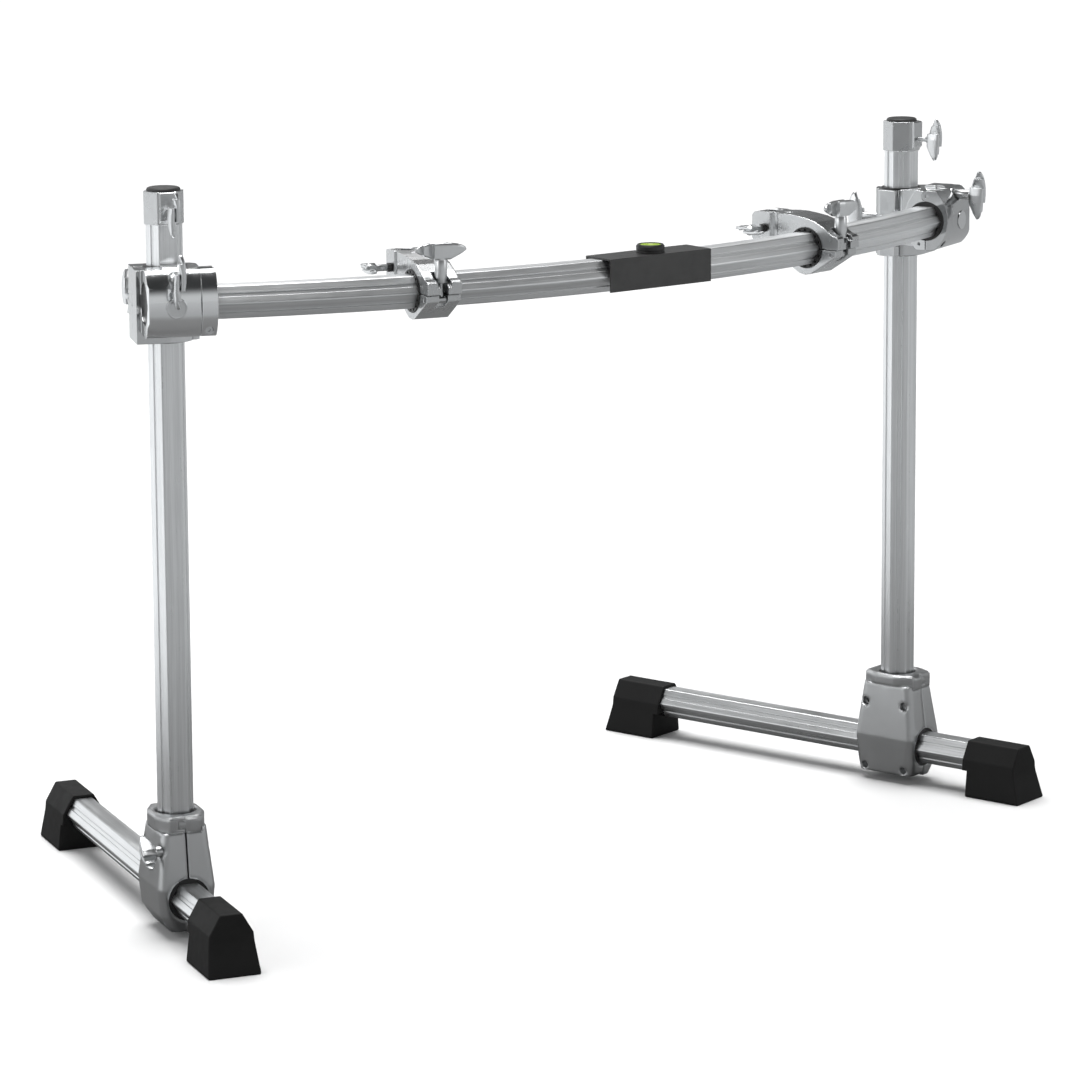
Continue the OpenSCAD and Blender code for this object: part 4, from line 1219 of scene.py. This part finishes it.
@dataclass
class RubberFoot:
    """A moulded rubber cap on a foot tube's end, with soft corners, a pocket and a leaning front.

    Its sides bend inwards at the shoulder, which lies below the tube's axis.
    """

    name: str
    body: str
    place: np.ndarray
    finish: Material
    flats: float
    height: float = 48.0
    length: float = 78.0
    lean: float = 11.0
    floor_half: float = 32.0
    wall: float = 4.0
    corner: float = 1.6
    slot_top: float = 34.0
    slot_back: float = 7.5
    shoulder: float = 37.0

    def outline(self, low: float) -> np.ndarray:
        """The cap's outline in X and Z from a lowest height up, with an arc in each corner.

        Args:
            low: The lowest height.

        Returns:
            The outline's points, one row each.
        """
        half, bend = self.flats / 2 + self.wall, self.shoulder
        side = half / math.cos(math.radians(30))
        wide = side - 1 + (self.floor_half - side + 1) * max(0.0, (bend - low) / bend)
        top = self.height + half
        rows = [(-wide, low), (wide, low), (side + 1.1, bend), (side, self.height), (side / 2, top),
                (-side / 2, top), (-side, self.height), (-side - 1.1, bend)]
        return rounded(rows, [2.2, 2.2, 6.0, 2.6, 2.6, 2.6, 2.6, 6.0], 6)

    def end(self, z: np.ndarray) -> np.ndarray:
        """How far the closed end stands out at a height: upright above, and leaning out below,
        with a soft bend between them (half the height below the bend plus its smooth size)."""
        drop = self.shoulder - z
        return -self.length - self.lean * (drop + np.sqrt(drop**2 + 9.0)) / 2 / (self.height - 8)

    def rims(self) -> tuple[np.ndarray, np.ndarray, np.ndarray]:
        """The cap's outline, the same one cut level above the slot, and the points below the cut.

        The outline starts where its right side passes the slot's top. The points above it are the
        same in both, and those below lie on a level line in the second.

        Returns:
            The two outlines, and a column that is true at the points below the cut.
        """
        dense = evened(self.outline(0.0), 4000)
        above = dense[:, 1] >= self.slot_top
        first = int(np.argmax(above & (dense[:, 0] > 0)))
        dense = np.roll(dense, -first, axis=0)
        above = dense[:, 1] >= self.slot_top
        upper, lower = dense[above], dense[~above]
        upper = upper[np.linspace(0, len(upper) - 1, 110).astype(int)]
        lower = lower[np.linspace(0, len(lower) - 1, 82).astype(int)]
        share = np.linspace(0.0, 1.0, len(lower) + 2)[1:-1, None]
        level = upper[-1] + (upper[0] - upper[-1]) * share
        below = np.arange(len(upper) + len(lower)) >= len(upper)
        return np.concatenate([upper, lower]), np.concatenate([upper, level]), below[:, None]

    def pocket(self, outline: np.ndarray) -> np.ndarray:
        """The tube's hexagon, at the outline's own angles: half its flats over the cosine of the
        angle from the nearest flat's middle, and never further than its round corners.

        Args:
            outline: The cap's outline.

        Returns:
            A point of the hexagon for each of its points.
        """
        middle = np.array([0.0, self.height])
        angle = np.arctan2(*(outline - middle).T[::-1])
        half = (self.flats + 0.4) / 2
        away = half / np.cos(np.mod(angle, np.pi / 3) - np.pi / 6)
        away = np.minimum(away, half / math.cos(math.pi / 6) - 0.4)
        return middle + np.stack([np.cos(angle), np.sin(angle)], axis=1) * away[:, None]

    def sheet(self) -> Sheet:
        """The whole cap as one run of rings.

        The rings start at the pocket's bottom, come out along its hexagon, cross the rim, go back
        along the outside, step down past the slot, turn over the closed end through a quarter
        circle, and shrink to its middle.

        Returns:
            The closed run, but for the two ends' middles.
        """
        full, cut, below = self.rims()
        slot = self.pocket(cut)
        rings: list[np.ndarray] = []

        def ring(outline: np.ndarray, y: np.ndarray | float) -> None:
            """Adds a ring: an outline in X and Z at a distance y."""
            depth = np.broadcast_to(np.asarray(y, float), (len(outline),))
            rings.append(np.stack([outline[:, 0], depth, outline[:, 1]], axis=1))

        middle, back = np.array([0.0, self.height]), -self.slot_back
        for share in (0.02, 0.5, 0.97, 1.0):
            ring(middle + (slot - middle) * share, self.wall - self.length)
        ring(slot, -1.0)
        ring(middle + (slot - middle) * 1.03, -0.15)
        rim = ((1.5, 0.0), (0.9, -0.05), (0.35, -0.35), (0.05, -0.9), (0.0, -1.6), (0.0, -6.9))
        for inward, depth in rim:
            ring(drawn_in(cut, inward), depth)
        ring(np.where(below, cut, full), back)
        ring(np.where(below, drawn_in(full, 0.8), full), back - 0.05)
        ring(np.where(below, drawn_in(full, 0.2), full), back - 0.3)
        ring(full, back - 1.0)
        r = self.corner
        for share in (0.02, 0.25, 0.5, 0.75, 0.98):
            ring(full, back - 1.0 + (self.end(full[:, 1]) + r + 1.0 - back) * share)
        for a in np.linspace(0.0, math.pi / 2, 7):
            inner = drawn_in(full, r * (1 - math.cos(a)))
            ring(inner, self.end(inner[:, 1]) + r * (1 - math.sin(a)))
        inner = drawn_in(full, r)
        hub = np.array([0.0, self.height * 0.75])
        for share in (0.985, 0.9, 0.75, 0.6, 0.45, 0.3, 0.15, 0.02):
            flat = hub + (inner - hub) * share
            ring(flat, self.end(flat[:, 1]))
        return Sheet(np.array(rings))

    def build(self) -> None:
        """Makes the cap and lets it stand for its construction node."""
        sheet = self.sheet()
        caps = []
        for row in (sheet.points[0], sheet.points[-1]):
            centre = np.broadcast_to(row.mean(axis=0), row.shape)
            caps.append(Sheet(np.stack([row, centre])))
        piece = piece_from(self.name + "_moulded", [sheet, *caps], self.place, self.finish, sharp=38.0)
        mount(piece, self.body, "foot", self.name)


@dataclass
class Feet:
    """The four rubber feet."""

    layout: Layout
    finishes: FinishShelf
    front_rim: float = 120.0
    rear_rim: float = 374.0

    def build(self) -> None:
        """Builds a front and a rear cap on each side."""
        shared = self.finishes["rubber"], self.layout.tube_flats
        for side in Side:
            leg, s = self.layout.at_leg(side), side.value
            front = leg @ moved(0, -self.front_rim, 0)
            rear = leg @ moved(0, self.rear_rim, 0) @ turned(Axis.Z, 180)
            RubberFoot(s + "_front_foot", s + "_foot", front, *shared).build()
            RubberFoot(s + "_rear_foot", s + "_foot", rear, *shared).build()


# Small cast details


@dataclass
class CastPads:
    """The bare round pads: one on the front of each T-clamp and one on each multi-clamp's arm."""

    layout: Layout
    finishes: FinishShelf
    drum_radius: float = 12.0
    arm_radius: float = 7.0
    rise: float = 0.9
    drum_seat: Point = (0.0, -85.8, -2.0)
    arm_seat: Point = (0.0, 40.0, 38.9)

    def pad(self, radius: float, sunk: float) -> Sheet:
        """A shallow disc with a rolled rim and a dished face: its height falls by a sixth of its
        rise from the rim to the middle.

        Args:
            radius: The disc's radius.
            sunk: How far it reaches below its seat.

        Returns:
            The disc.
        """
        rise, inner = self.rise, radius - 1.9
        rim = [(radius, -sunk), (radius, rise - 0.5), (radius - 0.15, rise - 0.15), (radius - 0.5, rise),
               (radius - 1.1, rise)]
        return lathe([(0.0, -sunk), *rim, *arched(inner, rise * 0.84, -0.1, 0.0, 8)], around=64)

    def build(self) -> None:
        """Builds the four pads."""
        clamp_body = body_of(frame["nodes"]["left_t_clamp_drum"])[0]
        for side in Side:
            s = side.value
            drum, arm = self.pad(self.drum_radius, 3.0), self.pad(self.arm_radius, 2.0)
            front = self.layout.at_t_clamp(side) @ moved(*self.drum_seat) @ turned(Axis.X, 90)
            top = self.layout.at_multi(side) @ moved(*self.arm_seat)
            rows = (
                (s + "_drum_pad", drum, front, "chrome", clamp_body, "casting"),
                (s + "_arm_pad", arm, top, "satin", s + "_multi_clamp", "clamp_satin"),
            )
            for name, sheet, place, finish, body, slot in rows:
                mount(piece_from(name, [sheet], place, self.finishes[finish], sharp=40.0), body, slot)


# The construction model's own tubes, castings and trim


@dataclass
class Castings:
    """The construction model's own nodes, each with the finish that the real piece has."""

    finishes: FinishShelf

    def build(self) -> None:
        """Dresses every node: those that stand alone, and then those that both sides have."""
        single = {
            "curve": ["crossbar_tube"],
            "coat": ["badge_plate"],
            "bush": ["level_cup", "t_clamp_tube_bushes"],
            "level": ["level_window"],
            "steel": ["t_clamp_fasteners"],
        }
        paired = {
            "upright": ["post"],
            "chrome": ["t_clamp_body", "t_clamp_rear_jaw"],
            "satin": ["top_collar", "multi_body", "multi_jaw"],
            "pewter": ["base_outer", "base_inner", "base_collar"],
            "steel": ["base_screws", "multi_hinge_pin", "swing_bolt"],
            "bush": ["post_bush", "multi_bush", "base_bushes"],
            "cap": ["top_plug"],
            "rubber": ["front_foot", "rear_foot"],
            "bright": [
                "t_clamp_front_wing", "t_clamp_rear_wing", "multi_wing", "arm_wing", "top_wing",
                "base_wing",
            ],
        }
        by_side = {"run": ["foot_tube"], "drum": ["t_clamp_drum", "t_clamp_ring"]}
        wanted = [(node, finish) for finish, nodes in single.items() for node in nodes]
        for side in Side:
            s = side.value + "_"
            wanted += [(s + node, finish) for finish, nodes in paired.items() for node in nodes]
            wanted += [(s + node, s + finish) for finish, nodes in by_side.items() for node in nodes]
        for node, finish in wanted:
            self.finishes.dress(node, finish)


# Studio


def hung(name: str, data: bpy.types.ID, back: Vector) -> bpy.types.Object:
    """A camera or light put into the scene, with its back towards a direction.

    Args:
        name: The object's name.
        data: The camera's or light's own data.
        back: The direction of its back.

    Returns:
        The object.
    """
    holder = bpy.data.objects.new(name, data)
    bpy.context.scene.collection.objects.link(holder)
    holder.rotation_euler = back.to_track_quat("Z", "Y").to_euler()
    return holder


@dataclass(frozen=True)
class Camera:
    """The photograph's camera, worked out from the edges of the tubes.

    Angles are in degrees, lengths in millimetres, and the focal length in the photograph's pixels.
    """

    azimuth: float = -37.148
    elevation: float = 9.579
    roll: float = -0.328
    distance: float = 5437.0
    focal: float = 4432.9
    photo_width: float = 1080.0
    sensor: float = 36.0
    target: Point = (-16.18, -110.59, 595.88)
    shift: float = -0.15

    def build(self) -> None:
        """Makes the camera: it looks back along the direction of its azimuth and elevation."""
        a, e = math.radians(self.azimuth), math.radians(self.elevation)
        back = Vector((math.sin(a) * math.cos(e), -math.cos(a) * math.cos(e), math.sin(e)))
        lens = bpy.data.cameras.new("photo_camera")
        lens.sensor_width = self.sensor
        lens.lens = self.sensor * self.focal / self.photo_width
        lens.shift_y = self.shift
        lens.clip_start, lens.clip_end = 0.1, 200.0
        camera = hung("photo_camera", lens, back)
        right = Vector((0, 0, 1)).cross(back).normalized()
        turn = Matrix((right, back.cross(right), back)).transposed().to_4x4()
        spin = Matrix.Rotation(math.radians(self.roll), 4, "Z")
        where = Vector(self.target) * MM + back * self.distance * MM
        camera.matrix_world = Matrix.Translation(where) @ turn @ spin
        bpy.context.scene.camera = camera


@dataclass(frozen=True)
class Panel:
    """A soft rectangular light that faces the rack's middle, in metres and watts."""

    name: str
    where: Point
    size: Pair
    power: float
    middle: Point = (0.0, -0.1, 0.45)

    def build(self) -> None:
        """Makes the light."""
        lamp = bpy.data.lights.new(self.name, "AREA")
        lamp.shape = "RECTANGLE"
        lamp.size, lamp.size_y = self.size
        lamp.energy = self.power
        holder = hung(self.name, lamp, Vector(self.where) - Vector(self.middle))
        holder.location = self.where


@dataclass
class Studio:
    """A plain pale floor and soft light from large panels.

    Three tones are those by direction: in general, to the rear left and to the front left.
    """

    floor_tone: float = 0.82
    mirrored_near: float = 0.18
    mirrored_far: Point = (0.42, 0.85, 0.3)
    near_ends: Pair = (0.95, 1.3)
    around: Point = (0.62, 1.3, 0.44)
    behind: float = 0.22
    behind_way: Point = (0.604, 0.797, 0.0)
    ceiling: float = 0.04
    reach: float = 60.0
    sun_power: float = 3.7
    sun_angle: float = 0.8
    sun_way: Point = (0.05, 0.2, 1.0)
    panels: tuple[Panel, ...] = (
        Panel("key_panel", (-4.2, 0.4, 3.0), (2.2, 2.2), 30.0),
        Panel("fill_panel", (3.4, -3.6, 2.6), (1.2, 2.4), 20.0),
        Panel("back_panel", (1.5, 4.2, 3.0), (3.0, 1.0), 18.0),
    )

    def floor(self) -> None:
        """A wide flat floor, pale to the eye. In the metal's reflections it is darker close by and
        on the camera's side. The grid's height is nothing everywhere."""
        line = np.linspace(-self.reach, self.reach, 9)
        x, y = np.meshgrid(line, line)
        grid = np.stack([x, y, np.zeros_like(x)], axis=-1) / MM
        surface = Surface.named("studio_floor")
        ray = surface.add("ShaderNodeLightPath")
        far = self.sideways(surface, surface.vectors("NORMALIZE", surface.at), self.mirrored_far)
        near = surface.ramp(ray.outputs["Ray Length"], *self.near_ends, 1.0, 0.0)
        mirrored = surface.blend(near, far, grey(self.mirrored_near))
        tone = surface.blend(ray.outputs["Is Glossy Ray"], grey(self.floor_tone), mirrored)
        material = surface.shade(base_color=tone, roughness=0.9, specular_ior_level=0.0)
        floor = piece_from("studio_floor", [Sheet(grid, ring=False)], np.eye(4), material)

    @staticmethod
    def sideways(graph: Graph, way: Socket, tones: Point) -> Socket:
        """A tone by direction: the first of three in general, the second to the rear left, and the
        third to the front left. Each share rises with the cosine between the two directions.

        Args:
            graph: The tree being wired.
            way: The direction.
            tones: The three tones.

        Returns:
            The tone.
        """
        tone: Socket | Colour = grey(tones[0], COOL)
        rear, front = (-0.707, 0.707, 0.0), (-0.788, -0.616, 0.0)
        for middle, low, high, value in ((rear, 0.42, 0.82, tones[1]), (front, 0.8, 0.97, tones[2])):
            share = graph.ramp(graph.vectors("DOT_PRODUCT", way, middle), low, high)
            tone = graph.blend(share, tone, grey(value, COOL))
        return tone

    def sky(self) -> None:
        """The surroundings: bright at eye level to the rear left, greyer elsewhere, darker behind
        the rack, and dark overhead, as in a studio with a dark ceiling."""
        world = bpy.data.worlds.new("studio")
        bpy.context.scene.world = world
        world.use_nodes = True
        graph = Graph(world.node_tree)
        at = graph.add("ShaderNodeTexCoord").outputs["Generated"]
        height = graph.add("ShaderNodeSeparateXYZ", i0=at).outputs[2]
        away = graph.ramp(graph.vectors("DOT_PRODUCT", at, self.behind_way), 0.75, 0.96)
        level = graph.blend(away, self.sideways(graph, at, self.around), grey(self.behind, COOL))
        overhead = grey(self.ceiling, (0.95, 0.98, 1.0))
        colour = graph.blend(graph.ramp(height, 0.22, 0.6), level, overhead)
        graph.feed(world.node_tree.nodes["Background"].inputs["Color"], colour)

    def build(self) -> None:
        """Sets up floor, surroundings, panels and the wide soft light overhead."""
        self.floor()
        self.sky()
        for panel in self.panels:
            panel.build()
        sun = bpy.data.lights.new("ceiling", "SUN")
        sun.energy, sun.angle = self.sun_power, self.sun_angle
        hung("ceiling", sun, Vector(self.sun_way))
        bpy.context.scene.view_settings.view_transform = "Standard"
        LOG.info("studio and lights are up")


def main() -> None:
    """Builds the camera, the studio and every piece, in order."""
    logging.basicConfig(level=logging.INFO, format="%(message)s")
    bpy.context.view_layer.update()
    layout = Layout()
    Camera().build()
    Studio().build()
    finishes = FinishShelf(layout)
    Castings(finishes).build()
    Feet(layout, finishes).build()
    WingBolts(layout, finishes).build()
    CastPads(layout, finishes).build()
    LOG.info("sizes written")


if __name__ == "__main__":
    main()
